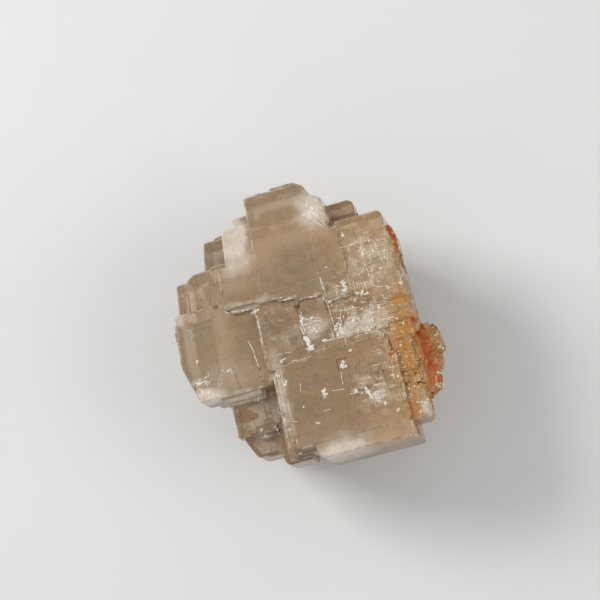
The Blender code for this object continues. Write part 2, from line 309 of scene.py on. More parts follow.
# Milky parts of the salt, as ellipsoids.
MILKY_CLOUDS = (
    Zone((-11.4, 24.0, 38.0), (4.2, 6.4, 6.0), 1.2, 1.0),
    Zone((-12.0, 17.6, 38.6), (4.4, 3.4, 4.0), 1.6, 0.7),
    Zone((9.0, 25.2, 39.4), (3.5, 4.4, 3.0), 1.6, 1.0),
    Zone((3.0, -33.4, 38.6), (7.4, 3.6, 6.0), 1.4, 1.0),
    Zone((3.6, -31.6, 33.0), (8.0, 3.0, 8.0), 1.6, 1.0),
    Zone((12.6, -33.4, 31.0), (9.0, 1.6, 9.0), 1.4, 0.2),
    Zone((24.6, -27.8, 36.0), (1.6, 2.4, 4.0), 0.7, 0.9),
    Zone((11.6, -33.2, 38.0), (8.4, 1.8, 6.0), 1.2, 0.25),
    Zone((-25.6, -12.0, 36.0), (4.8, 2.4, 4.0), 1.4, 0.9),
    Zone((-29.4, 8.6, 37.0), (1.8, 2.2, 2.4), 0.9, 0.8),
    Zone((-18.4, -13.8, 35.4), (6.8, 1.7, 3.2), 1.0, 0.7),
    Zone((3.4, -2.4, 38.6), (3.2, 2.8, 3.0), 1.3, 0.55),
    Zone((10.4, -5.4, 38.6), (2.4, 1.7, 2.2), 0.8, 0.9),
    Zone((16.4, -5.0, 38.2), (4.6, 2.6, 3.0), 1.4, 0.85),
    Zone((-8.2, -15.5, 38.2), (1.6, 9.5, 4.0), 1.0, 0.6),
    Zone((13.8, -22.4, 39.0), (1.9, 1.5, 2.0), 0.7, 0.8),
    Zone((-15.6, -23.6, 32.0), (2.0, 2.0, 2.0), 0.9, 0.45),
    Zone((-13.6, -19.4, 33.0), (2.6, 2.2, 1.6), 0.9, 0.2),
    Zone((-20.0, -8.6, 38.0), (7.4, 3.6, 3.0), 2.4, 0.3),
    Zone((-11.4, 6.9, 39.2), (6.6, 0.9, 1.8), 0.6, 0.6),
    Zone((19.4, 10.0, 39.0), (4.6, 4.8, 2.4), 2.2, 0.35),
)

# Where iron has crept into the salt, as ellipsoids.
IRON_CLOUDS = (
    Zone((25.0, 1.6, 38.4), (2.6, 1.5, 3.0), 0.9, 0.45),
    Zone((24.6, -1.5, 38.0), (3.4, 1.5, 3.0), 0.5, 1.0),
    Zone((24.8, -5.6, 36.6), (2.8, 2.6, 4.0), 1.2, 0.8),
    Zone((26.4, -12.6, 30.5), (5.6, 8.2, 9.0), 3.0, 1.0),
    Zone((24.4, -21.0, 28.0), (4.6, 6.4, 9.0), 2.4, 0.9),
    Zone((23.4, -13.0, 37.0), (3.4, 9.6, 4.4), 1.6, 0.95),
    Zone((20.6, -15.0, 37.6), (2.8, 10.6, 3.4), 1.6, 0.5),
    Zone((27.6, -10.6, 28.0), (4.4, 4.4, 6.0), 1.4, 0.9),
    Zone((20.6, -18.4, 37.0), (0.8, 3.6, 2.6), 0.5, 0.9),
    Zone((25.6, 14.4, 34.4), (1.4, 4.0, 3.4), 0.9, 1.0),
    Zone((22.8, 15.6, 39.4), (1.7, 1.5, 2.0), 1.1, 0.3),
    Zone((21.2, -27.6, 37.0), (1.5, 3.0, 4.0), 0.8, 0.9),
    Zone((23.6, -27.0, 27.0), (3.0, 3.6, 6.0), 1.6, 0.7),
    Zone((16.2, 25.6, 30.4), (4.6, 3.4, 3.0), 1.4, 0.32),
    Zone((15.8, -33.4, 36.4), (6.0, 1.5, 4.6), 1.6, 0.34),
)

# The deepest rust: the bed of the band that runs down the rim.
RUST_CLOUDS = (
    Zone((26.0, -6.8, 36.6), (1.2, 1.9, 2.6), 0.6, 0.95),
    Zone((26.5, -12.4, 32.0), (1.7, 4.4, 3.6), 1.0, 0.95),
    Zone((27.0, -19.0, 28.8), (2.0, 3.8, 3.6), 1.2, 1.0),
    Zone((25.6, 14.4, 34.4), (1.1, 3.4, 2.6), 0.8, 0.9),
)

# Faces that are crazed with fine cleavage lines and small sunk cubes, as ellipsoids.
LACY_CLOUDS = (
    Zone((19.6, 9.0, 39.2), (4.4, 7.0, 2.6), 1.8, 1.0),
    Zone((17.0, -1.8, 38.6), (8.4, 4.8, 2.8), 2.2, 1.0),
    Zone((12.2, -4.6, 38.6), (5.6, 3.6, 2.8), 1.6, 1.0),
    Zone((2.6, -4.0, 38.6), (3.8, 4.8, 2.4), 1.6, 0.85),
    Zone((10.4, 3.2, 39.8), (5.0, 4.4, 2.4), 1.6, 0.8),
    Zone((13.4, -20.4, 39.2), (4.6, 5.2, 2.0), 1.6, 0.85),
    Zone((-9.0, -14.0, 38.0), (2.4, 13.5, 3.4), 1.2, 0.2),
    Zone((-26.4, -9.0, 36.6), (4.4, 3.2, 3.0), 1.4, 0.8),
    Zone((-15.6, -21.0, 33.4), (5.6, 6.4, 3.0), 1.6, 0.85),
    Zone((9.2, 25.4, 39.6), (2.6, 3.0, 2.4), 1.2, 1.0),
    Zone((20.2, -14.0, 37.2), (4.4, 12.0, 5.0), 1.8, 1.0),
    Zone((-5.0, 0.0, 38.6), (4.6, 6.0, 2.0), 1.6, 0.45),
)


class SaltPattern:
    """Where the salt is clear, milky, stained or crazed: masks over the body's surface."""

    def __init__(self, graph: Graph) -> None:
        """Lay the masks out.

        Args:
            graph: The material's graph.
        """
        self.graph = graph
        self.place = graph.millimetres()
        self.across, _, self.up = graph.split(self.place)
        self.broad = graph.noise(self.place, 0.07, 3.0, 0.55)
        self.patchy = graph.noise(self.place, 0.42, 5.0, 0.66)
        self.fine = graph.noise(self.place, 1.9, 4.0, 0.65)
        close = graph.warped(self.place, 0.55, 1.6)
        self.milky = graph.within(graph.warped(self.place, 0.30, 3.4), MILKY_CLOUDS)
        self.iron = graph.within(close, IRON_CLOUDS)
        self.rust = graph.within(close, RUST_CLOUDS)
        self.crazed = graph.within(self.place, LACY_CLOUDS)
        self.near_top = self.up.between(34.5, 37.5)
        self.deep = self.up.between(29.0, 22.0)
        self.rim = self._frost_and_rim_highlight()
        self.lace = self._lace()
        self.zoned = self._zoned()

    def _frost_and_rim_highlight(self) -> Number:
        """Bevels painted pale in uneven runs: partly frosted edges, partly a painted highlight,
        stronger on crazed faces and near the top.

        Returns:
            How pale they are.
        """
        runs = (self.fine + self.patchy * 0.5).between(0.55, 0.90) * self.patchy.between(0.40, 0.56)
        clean = (1.0 - self.iron * 0.8) * (1.0 - self.milky * 0.6)
        share = self.crazed * 0.4 + self.near_top * 0.5 + 0.2
        return self.graph.attribute("rim") * runs * clean * share

    def _lace(self) -> Number:
        """Fine bright cleavage lines along the cube edges, on crazed faces.

        Returns:
            How strong the lines are.
        """
        along_x = self.graph.streaks(self.place, (0.42, 2.4, 1.0), 3.0, 0.6)
        along_y = self.graph.streaks(self.place, (2.4, 0.42, 1.0), 3.0, 0.6)
        lines = along_x.between(0.60, 0.64).most(along_y.between(0.60, 0.64))
        lines = lines * self.patchy.between(0.42, 0.56)
        return lines * self.crazed * self.near_top * (0.75 - self.iron * 0.5)

    def _zoned(self) -> Number:
        """Milky growth zones, low down.

        Returns:
            How milky they are.
        """
        gentle = self.graph.warped(self.place, 0.14, 1.6)
        zones = self.graph.cells(self.graph.vector("SCALE", gentle, Scale=0.13))
        return zones.between(0.40, 1.0) * self.deep * self.patchy.between(0.36, 0.62)

    def relief(self) -> Number:
        """Height of the growth lines, etched pits and cleavage lines.

        Returns:
            The height.
        """
        lines_x = self.graph.streaks(self.place, (0.10, 2.2, 2.2))
        lines_y = self.graph.streaks(self.place, (2.2, 0.10, 2.2))
        pits = self.graph.grains(self.place, 0.9).between(0.05, 0.30)
        return (lines_x + lines_y) * 0.8 + pits * 0.35 + self.fine * 0.5 + self.lace * 0.6

    def haziness(self, plain: float) -> Number:
        """How hazy the salt is, from 0 where it is clear to 1.

        Args:
            plain: How hazy it is where nothing else changes it.

        Returns:
            The share of haze.
        """
        cloud = plain + self.near_top * 0.03 - self.deep * 0.36
        cloud = cloud + (self.patchy - 0.5) * 0.55 + (self.broad - 0.5) * 0.25
        share = cloud + self.milky * 0.38 + self.iron * 0.46 + self.rust * 0.6
        # The painted rim highlight also makes the bevels hazier.
        share = share + self.rim * 0.3 + self.lace * 0.5 + self.zoned * 0.3
        return share.most(0.0).least(1.0)


@dataclass(frozen=True)
class SaltFinish:
    """See-through to milky salt, tinted brown, with iron at the rim.

    Absorption is a plain value: the share of each colour left, and the density for each metre.
    """

    clear_tint: Colour = (0.97, 0.93, 0.86, 1.0)
    haze: Colour = (0.465, 0.308, 0.160, 1.0)
    # Random darker haze, darker iron patches, and painted shade on the lower cubes.
    haze_dark_and_shade: Colour = (0.290, 0.165, 0.066, 1.0)
    haze_cool: Colour = (0.420, 0.300, 0.180, 1.0)
    haze_warm: Colour = (0.56, 0.350, 0.160, 1.0)
    milk: Colour = (0.67, 0.575, 0.465, 1.0)
    amber: Colour = (0.50, 0.220, 0.042, 1.0)
    rust: Colour = (0.50, 0.105, 0.005, 1.0)
    deep_haze: Colour = (0.50, 0.385, 0.260, 1.0)
    # Pale of frosted bevels and crushed cells, and of the painted rim highlight on the bevels.
    frost_and_highlight_pale: Colour = (0.90, 0.79, 0.62, 1.0)
    lace_white: Colour = (1.0, 0.90, 0.70, 1.0)
    absorbing_colour: Colour = (0.76, 0.51, 0.17, 1.0)
    absorbing_density: float = 28.0
    haze_share: float = 0.50
    haze_roughness: float = 0.16
    coat: float = 0.5
    coat_roughness: float = 0.05
    relief_strength: float = 0.32
    relief_depth: float = 0.00016

    def make(self) -> bpy.types.Material:
        """Build the material.

        Returns:
            The salt.
        """
        graph = Graph("clear_to_milky_salt")
        salt = SaltPattern(graph)
        normal = graph.bump(salt.relief(), self.relief_strength, self.relief_depth)
        rough = 0.05 + salt.patchy * 0.14 + salt.fine * 0.06
        clear = graph.shader(
            Base_Color=graph.blend(salt.iron, self.clear_tint, self.amber),
            Roughness=rough,
            IOR=HALITE_IOR,
            Transmission_Weight=1.0,
            Normal=normal,
        )
        hazy = graph.shader(
            Base_Color=self._tint(salt),
            Roughness=rough + self.haze_roughness,
            IOR=HALITE_IOR,
            Coat_Weight=self.coat - salt.iron * 0.3 - salt.rust * 0.2,
            Coat_Roughness=self.coat_roughness,
            Coat_IOR=HALITE_IOR,
            Normal=normal,
        )
        mixed = {0: salt.haziness(self.haze_share), 1: clear, 2: hazy}
        inside = {"Color": self.absorbing_colour, "Density": self.absorbing_density}
        return graph.finish(
            graph.add("ShaderNodeMixShader", {}, mixed).outputs[0],
            Volume=graph.add("ShaderNodeVolumeAbsorption", {}, inside).outputs[0],
        )

    def _tint(self, salt: SaltPattern) -> Socket:
        """Colour of the haze, milk and stain.

        Args:
            salt: Where they are.

        Returns:
            The colour.
        """
        layers = (
            ((salt.milky * (0.60 + salt.patchy * 0.7)).least(1.0), self.milk),
            (salt.zoned * 0.55, self.milk),
            (salt.fine.between(0.56, 0.80) * 0.38, self.milk),
            ((salt.iron * (0.66 + salt.fine * 0.9)).least(1.0), self.amber),
            (salt.iron * salt.patchy.between(0.42, 0.62) * 0.5, self.haze_dark_and_shade),
            ((salt.rust * (0.65 + salt.fine)).least(1.0), self.rust),
            # Painted highlight on the bevels, partly frosted edges.
            (salt.rim * 0.9, self.frost_and_highlight_pale),
            (salt.lace, self.lace_white),
        )
        return self._laid_over(salt.graph, self._clean_tint(salt), layers)

    def _clean_tint(self, salt: SaltPattern) -> Socket:
        """Colour of the haze where it is neither milky nor stained.

        Args:
            salt: The masks.

        Returns:
            The colour, warmer towards +X, with painted shade darkening the lower cubes further
            back.
        """
        graph, up, patchy = salt.graph, salt.up, salt.patchy
        mosaic = graph.cells(graph.vector("MULTIPLY", salt.place, (0.42, 0.62, 0.30)))
        dark = (salt.broad + (patchy - 0.5) * 0.9).between(0.44, 0.74) * 0.45
        dark = dark + (mosaic - 0.5) * salt.crazed * 1.5
        warm = (salt.across + (patchy - 0.5) * 12.0).between(5.0, 17.0)
        layers = (
            (dark.most(0.0).least(1.0), self.haze_dark_and_shade),
            (graph.noise(salt.place, 0.12, 3.0).between(0.46, 0.62) * 0.7, self.haze_cool),
            (warm * (0.9 - mosaic * salt.crazed * 0.5), self.haze_warm),
            # Painted shade: the lower cubes, 25 to 34.6 mm up, are darkened.
            (up.between(34.6, 31.0) * up.between(25.0, 28.0) * 0.85, self.haze_dark_and_shade),
            (up.between(28.0, 22.0) * 0.7, self.deep_haze),
            ((0.50 - mosaic).between(0.0, 0.26) * salt.crazed * 0.42, self.frost_and_highlight_pale),
        )
        return self._laid_over(graph, self.haze, layers)

    @staticmethod
    def _laid_over(graph: Graph, base: object, layers: tuple[tuple[Number, Colour], ...]) -> Socket:
        """Blend colours over a base, one after the other."""
        return reduce(lambda under, layer: graph.blend(layer[0], under, layer[1]), layers, base)


@dataclass(frozen=True)
class FlakeFinish:
    """Pearly white of cleavage flakes and crushed salt."""

    white: Colour = (0.97, 0.93, 0.85, 1.0)
    cream: Colour = (0.95, 0.82, 0.60, 1.0)
    dull: Colour = (0.60, 0.46, 0.31, 1.0)
    transmission: float = 0.12

    def make(self) -> bpy.types.Material:
        """Build the material.

        Returns:
            The pearly white salt.
        """
        graph = Graph("pearly_cleavage")
        place = graph.millimetres()
        patchy = graph.noise(place, 0.8, 4.0, 0.6)
        fine = graph.noise(place, 4.0, 3.0, 0.6)
        warm = graph.split(place)[0].between(6.0, 24.0) * 0.7 + patchy.between(0.5, 0.7) * 0.5
        tint = graph.blend(warm.least(1.0), self.white, self.cream)
        speckle = graph.noise(place, 2.2, 4.0, 0.7).between(0.50, 0.62)
        layered = graph.noise(graph.vector("MULTIPLY", place, (1.0, 1.0, 7.0)), 1.6, 3.0)
        surface = graph.shader(
            Base_Color=graph.blend(speckle * 0.75, tint, self.dull),
            Roughness=0.10 + fine * 0.2,
            IOR=HALITE_IOR,
            Transmission_Weight=self.transmission,
            Normal=graph.bump(layered + fine * 0.6, 0.5, 0.0003),
        )
        return graph.finish(surface)


@dataclass(frozen=True)
class StainFinish:
    """Iron-stained grains, from olive and ochre to rust, each grain in its own tone, with pale
    glint grains as painted sparkle highlights.

    tones are the colours and where they lie between rust at 0 and pale at 1.
    """

    tones: tuple[tuple[float, Colour], ...] = (
        (0.05, (0.50, 0.105, 0.010, 1.0)),
        (0.34, (0.64, 0.235, 0.035, 1.0)),
        (0.62, (0.74, 0.400, 0.105, 1.0)),
        (0.84, (0.66, 0.430, 0.130, 1.0)),
        # The pale end colours pale salt grains and also the glint grains, which are painted sparkle
        # highlights.
        (1.00, (0.98, 0.850, 0.560, 1.0)),
    )
    transmission: float = 0.18

    def make(self) -> bpy.types.Material:
        """Build the material.

        Returns:
            The stained salt.
        """
        graph = Graph("iron_stained_grains")
        place = graph.millimetres()
        patchy = graph.noise(place, 0.32, 3.0, 0.6)
        fine = graph.noise(place, 2.6, 4.0, 0.65)
        tone = graph.attribute("tone") * 0.85 + (patchy - 0.5) * 0.45 + (fine - 0.5) * 0.3 + 0.06
        ramp = graph.add("ShaderNodeValToRGB", {"stops": self.tones}, {"Fac": tone})
        surface = graph.shader(
            Base_Color=ramp.outputs[0],
            Roughness=0.08 + patchy * 0.25,
            IOR=HALITE_IOR,
            Transmission_Weight=self.transmission,
            Normal=graph.bump(fine + graph.grains(place, 1.4) * 0.8, 0.45, 0.0002),
        )
        return graph.finish(surface)


@dataclass(frozen=True)
class FloorFinish:
    """Matt pale board."""

    pale: Colour = (0.78, 0.77, 0.75, 1.0)
    shade: Colour = (0.74, 0.73, 0.71, 1.0)

    def make(self) -> bpy.types.Material:
        """Build the material.

        Returns:
            The board.
        """
        graph = Graph("pale_board")
        cloudy = graph.noise(graph.millimetres(), 0.02, 3.0)
        tint = graph.blend(cloudy, self.pale, self.shade)
        return graph.finish(graph.shader(Base_Color=tint, Roughness=0.9, Specular_IOR_Level=0.2))


class Bench:
    """The modelling steps that every piece is made with, in millimetres."""

    @staticmethod
    def pick(piece: Piece) -> None:
        """Select one object alone and make it active."""
        bpy.ops.object.select_all(action="DESELECT")
        piece.select_set(True)
        bpy.context.view_layer.objects.active = piece

    @staticmethod
    def cuboid(name: str, middle: Triple, size: Triple, turn: Triple = (0.0, 0.0, 0.0)) -> Piece:
        """Add a box with its place in its mesh.

        Args:
            name: The object's name.
            middle: Its centre.
            size: Its lengths.
            turn: Its turn about X, Y and Z, in radians.

        Returns:
            The box.
        """
        bpy.ops.object.select_all(action="DESELECT")
        spot, lengths = (tuple(MM * part for part in triple) for triple in (middle, size))
        bpy.ops.mesh.primitive_cube_add(size=1.0, location=spot, rotation=turn, scale=lengths)
        bpy.context.active_object.name = name
        bpy.ops.object.transform_apply(location=True, rotation=True, scale=True)
        return bpy.context.active_object

    @staticmethod
    @contextmanager
    def editing(piece: Piece, wanted: Callable[[Vector], bool] = lambda _: True) -> Iterator[None]:
        """Edit a piece with only the wanted corners selected, and what lies between them.

        Args:
            piece: The piece.
            wanted: Says of a corner's place whether it is wanted.

        Yields:
            Nothing; edit mode ends with the block.
        """
        Bench.pick(piece)
        bpy.ops.object.mode_set(mode="EDIT")
        bpy.ops.mesh.select_mode(type="VERT")
        bpy.ops.mesh.select_all(action="DESELECT")
        bpy.ops.object.mode_set(mode="OBJECT")
        for vertex in piece.data.vertices:
            vertex.select = wanted(vertex.co / MM)
        bpy.ops.object.mode_set(mode="EDIT")
        yield
        bpy.ops.object.mode_set(mode="OBJECT")

    @staticmethod
    def roughen(piece: Piece, reach: float, seed: int) -> None:
        """Push every corner about, by up to the reach."""
        with Bench.editing(piece):
            bpy.ops.transform.vertex_random(offset=reach * MM, seed=seed)

    @staticmethod
    def soften(piece: Piece, width: float) -> None:
        """Bevel every edge to a width."""
        with Bench.editing(piece):
            bpy.ops.mesh.bevel(offset=width * MM, segments=1, profile=0.5, affect="EDGES")

    @staticmethod
    def apply_tools(piece: Piece, tools: list[Piece], operation: Operation) -> None:
        """Join tools to a piece, or cut them out of it, and remove them.

        Args:
            piece: The piece that is changed.
            tools: The closed shapes that are used up.
            operation: What is done with them.
        """
        group = bpy.data.collections.new("tools")
        bpy.context.scene.collection.children.link(group)
        for tool in tools:
            group.objects.link(tool)
        step = piece.modifiers.new("step", "BOOLEAN")
        step.operation = operation.value
        step.solver = "EXACT"
        step.operand_type = "COLLECTION"
        step.collection = group
        Bench.pick(piece)
        bpy.ops.object.modifier_apply(modifier=step.name)
        Bench.clear_away(tools)
        bpy.data.collections.remove(group)

    @staticmethod
    def clear_away(pieces: list[Piece]) -> None:
        """Remove pieces that are used up."""
        for piece in pieces:
            bpy.data.objects.remove(piece, do_unlink=True)

    @staticmethod
    def joined(name: str, parts: list[Piece]) -> Piece:
        """Make one object of many.

        Args:
            name: The name of the whole.
            parts: The objects that are used up.

        Returns:
            The whole.
        """
        Bench.pick(parts[0])
        for part in parts:
            part.select_set(True)
        bpy.ops.object.join()
        parts[0].name = name
        return parts[0]

    @staticmethod
    def copy_of(piece: Piece, place: Matrix, tone: float = 0.5) -> Piece:
        """Copy a piece with its own mesh, moved to a place.

        Args:
            piece: The piece that is copied.
            place: Where the copy goes.
            tone: The value of its tone attribute.

        Returns:
            The copy.
        """
        mesh = piece.data.copy()
        mesh.transform(place)
        values = mesh.attributes.new("tone", "FLOAT", "FACE").data
        values.foreach_set("value", [tone] * len(mesh.polygons))
        copy = bpy.data.objects.new(piece.name, mesh)
        bpy.context.scene.collection.objects.link(copy)
        return copy

    @staticmethod
    def dress(piece: Piece, material: bpy.types.Material, slot: str) -> None:
        """Give a piece its one material and attach it to the body.

        Args:
            piece: The piece.
            material: Its finish.
            slot: Not used.
        """
        piece.data.materials.clear()
        piece.data.materials.append(material)
        for face in piece.data.polygons:
            face.material_index = 0
        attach(piece, BODY)


class Way(Enum):
    """The six directions along the cube edges."""

    RIGHT = (1.0, 0.0, 0.0)
    LEFT = (-1.0, 0.0, 0.0)
    TOWER = (0.0, 1.0, 0.0)
    FRONT = (0.0, -1.0, 0.0)
    UP = (0.0, 0.0, 1.0)
    DOWN = (0.0, 0.0, -1.0)


class Probe:
    """Finds the surface of a finished body, in millimetres."""

    above: float = 60.0

    def __init__(self, body: Piece) -> None:
        """Keep the body's surface for quick searches."""
        self.surface = BVHTree.FromObject(body, bpy.context.evaluated_depsgraph_get())

    def touch(self, start: Vector, towards: Vector) -> tuple[Vector, Vector] | None:
        """Find where a straight line first meets the body, and the surface's normal there."""
        spot, normal, _, _ = self.surface.ray_cast(start * MM, towards.normalized())
        return None if spot is None else (spot / MM, normal)

    def down_on(self, x: float, y: float) -> float | None:
        """Height of the body's upper side at a place, or None beside it."""
        found = self.touch(Vector((x, y, self.above)), Vector(Way.DOWN.value))
        return found[0].z if found else None


def packed_corners() -> tuple[Vector, Vector]:
    """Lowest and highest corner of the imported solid's box, in millimetres."""
    low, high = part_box(CLUSTER_NODE)
    return low / MM, high / MM


@dataclass(frozen=True)
class GrowthField:
    """Thin cuboids of growth scattered over the faces that look one way, in part of the box.

    low and high bound the places that are tried, count is how many are tried, half is the range of
    the cuboids' half lengths, and proud that of how far they stand out.
    """

    way: Way
    low: Triple
    high: Triple
    count: int
    half: Pair
    proud: Pair


@dataclass
class CrystalBody:
    """The cubes grown together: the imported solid, with finer growth steps and chipped edges."""

    name: str = "halite_crystal"
    merge_distance: float = 2e-6
    flat_angle: float = 0.6
    rim_normal: float = 0.985
    bevel_lean: float = 0.12
    bevel_slope: float = 0.6
    fields: tuple[GrowthField, ...] = (
        GrowthField(Way.RIGHT, (0.0, -33.0, 2.0), (0.0, 33.0, 38.0), 60, (0.8, 4.6), (0.10, 0.45)),
        GrowthField(Way.LEFT, (0.0, -33.0, 2.0), (0.0, 33.0, 38.0), 60, (0.8, 4.8), (0.10, 0.45)),
        GrowthField(Way.TOWER, (-30.0, 0.0, 2.0), (28.0, 0.0, 38.0), 60, (0.8, 4.8), (0.10, 0.45)),
        GrowthField(Way.FRONT, (-30.0, 0.0, 2.0), (28.0, 0.0, 38.0), 60, (0.8, 4.8), (0.10, 0.45)),
        GrowthField(Way.DOWN, (-30.0, -33.0, 0.0), (28.0, 33.0, 0.0), 50, (1.0, 5.6), (0.10, 0.35)),
        GrowthField(Way.UP, (7.0, -8.5, 0.0), (26.0, 3.6, 0.0), 90, (0.5, 1.9), (0.05, 0.30)),
        GrowthField(Way.UP, (12.0, 3.6, 0.0), (25.0, 16.0, 0.0), 60, (0.5, 2.2), (0.04, 0.20)),
        GrowthField(Way.UP, (-9.5, -9.0, 0.0), (7.0, 5.0, 0.0), 36, (0.5, 2.0), (0.04, 0.18)),
        GrowthField(Way.UP, (-12.0, -28.0, 0.0), (-7.0, -8.0, 0.0), 36, (0.3, 1.2), (0.05, 0.28)),
        GrowthField(Way.UP, (-22.0, -28.0, 0.0), (-9.0, -12.0, 0.0), 36, (0.5, 2.2), (0.06, 0.40)),
        GrowthField(Way.UP, (-30.0, -14.0, 0.0), (-15.0, -5.0, 0.0), 26, (0.5, 2.4), (0.04, 0.18)),
        GrowthField(Way.UP, (9.0, -25.0, 0.0), (19.0, -13.0, 0.0), 26, (0.5, 2.2), (0.04, 0.16)),
    )
    step_bevel: float = 0.09
    step_root: float = 1.2
    shrinks: tuple[float, ...] = (1.0, 0.7, 0.45, 0.28)
    wall_play: float = 0.5
    wall_margin: float = 0.2
    box_margin: float = 0.05
    start: float = 80.0
    near_start: float = 3.0
    chip_count: int = 50
    chip_size: Pair = (0.8, 2.0)
    chip_bite: Pair = (0.08, 0.26)
    chip_edge: float = 5.2
    chip_place: Pair = (0.08, 0.92)
    chip_tilt: float = 0.35
    chip_stretch: float = 1.3
    seed: int = 11

    def __post_init__(self) -> None:
        """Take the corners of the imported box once, for all the steps."""
        self.low, self.high = packed_corners()

    def build(self, finish: SaltFinish) -> Piece:
        """Model and dress the body.

        Args:
            finish: What it is made of.

        Returns:
            The crystal.
        """
        body = self._copy_of_solid()
        Bench.apply_tools(body, self._wall_steps(Probe(body)), Operation.JOIN)
        Bench.apply_tools(body, self._edge_chips(body), Operation.CUT)
        self._mark_bevels(body)
        Bench.dress(body, finish.make(), "salt")
        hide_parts(CLUSTER_NODE)
        return body

    def _copy_of_solid(self) -> Piece:
        """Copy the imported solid's mesh and merge its loose triangles.

        Returns:
            The closed copy.
        """
        body = bpy.data.objects.new(self.name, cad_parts[CLUSTER_NODE].data.copy())
        bpy.context.scene.collection.objects.link(body)
        with Bench.editing(body):
            bpy.ops.mesh.remove_doubles(threshold=self.merge_distance)
            bpy.ops.mesh.dissolve_limited(angle_limit=math.radians(self.flat_angle))
        return body

    def _wall_steps(self, probe: Probe) -> list[Piece]:
        """Model the thin cuboids on the walls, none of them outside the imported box.

        Args:
            probe: Finds the walls.

        Returns:
            The cuboids.
        """
        chance = random.Random(self.seed)
        cuboids = []
        for kind in self.fields:
            outward = Vector(kind.way.value)
            axis = max(range(3), key=lambda i, way=outward: abs(way[i]))
            for _ in range(kind.count):
                spot = Vector(chance.uniform(kind.low[i], kind.high[i]) for i in range(3))
                halves = Vector(chance.uniform(*kind.half) for _ in range(3))
                proud = chance.uniform(*kind.proud)
                found = probe.touch(spot + outward * self.start, -outward)
                if found is None or found[1].dot(outward) < self.rim_normal:
                    continue
                middle = found[0] + outward * (proud - self.step_root)
                for shrink in self.shrinks:
                    size = Vector(half * shrink for half in halves)
                    size[axis] = self.step_root
                    if self._fits(middle, size) and self._lies_on_wall(
                        probe, outward, found[0], size
                    ):
                        cuboids.append(Bench.cuboid("step", middle, size * 2.0))
                        Bench.soften(cuboids[-1], self.step_bevel)
                        break
        return cuboids

    def _fits(self, middle: Vector, size: Vector) -> bool:
        """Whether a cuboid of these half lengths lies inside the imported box."""
        return all(
            self.low[i] + self.box_margin < middle[i] - size[i]
            and middle[i] + size[i] < self.high[i] - self.box_margin
            for i in range(3)
        )

    def _lies_on_wall(self, probe: Probe, outward: Vector, middle: Vector, size: Vector) -> bool:
        """Whether a rectangle's four corners all meet the same wall.

        Args:
            probe: Finds the surface.
            outward: The wall's direction.
            middle: The rectangle's middle, on the wall.
            size: Its half lengths.

        Returns:
            True if it doesn't reach past the wall's ends.
        """
        first, second = (i for i in range(3) if abs(outward[i]) < 0.5)
        for one, two in ((-1, -1), (-1, 1), (1, -1), (1, 1)):
            corner = middle.copy()
            corner[first] += one * (size[first] + self.wall_margin)
            corner[second] += two * (size[second] + self.wall_margin)
            found = probe.touch(corner + outward * self.near_start, -outward)
            if found is None or abs((found[0] - middle).dot(outward)) > self.wall_play:
                return False
        return True

    def _edge_chips(self, body: Piece) -> list[Piece]:
        """Place tilted cuboids over the edges, so that each bites a chip off.

        Args:
            body: The crystal so far.

        Returns:
            The cuboids.
        """
        chance = random.Random(self.seed + 1)
        corners = body.data.vertices
        slants = [face for face in body.data.polygons if self._slants(face)]
        bites = []
        while len(bites) < self.chip_count:
            face = chance.choice(slants)
            spots = [corners[index].co / MM for index in face.vertices]
            pairs = ((one, two) for one in spots for two in spots)
            first, last = max(pairs, key=lambda pair: (pair[0] - pair[1]).length)
            share = chance.uniform(*self.chip_place)
            if (first - last).length < self.chip_edge:
                continue
            size = chance.uniform(*self.chip_size)
            tilt = face.normal.to_track_quat("Z", "Y").to_euler()
            tilt.rotate(Euler([chance.uniform(-self.chip_tilt, self.chip_tilt) for _ in range(3)]))
            raised = face.normal * (size / 2 - chance.uniform(*self.chip_bite))
            lengths = (size, size * self.chip_stretch, size)
            middle = first.lerp(last, share) + raised
            bites.append(Bench.cuboid("bite", middle, lengths, tuple(tilt)))
        return bites

    def _slants(self, face: bpy.types.MeshPolygon) -> bool:
        """Whether a face isn't one of the cube directions."""
        return max(abs(part) for part in face.normal) < self.rim_normal

    def _is_bevel(self, face: bpy.types.MeshPolygon) -> bool:
        """Whether a face lies half way between two of the cube directions."""
        least, middle, _ = sorted(abs(part) for part in face.normal)
        return least < self.bevel_lean and middle > self.bevel_slope

    def _mark_bevels(self, body: Piece) -> None:
        """Write an attribute that is 1 on bevels and 0 on all other faces."""
        values = body.data.attributes.new("rim", "FLOAT", "FACE").data
        values.foreach_set("value", [float(self._is_bevel(face)) for face in body.data.polygons])


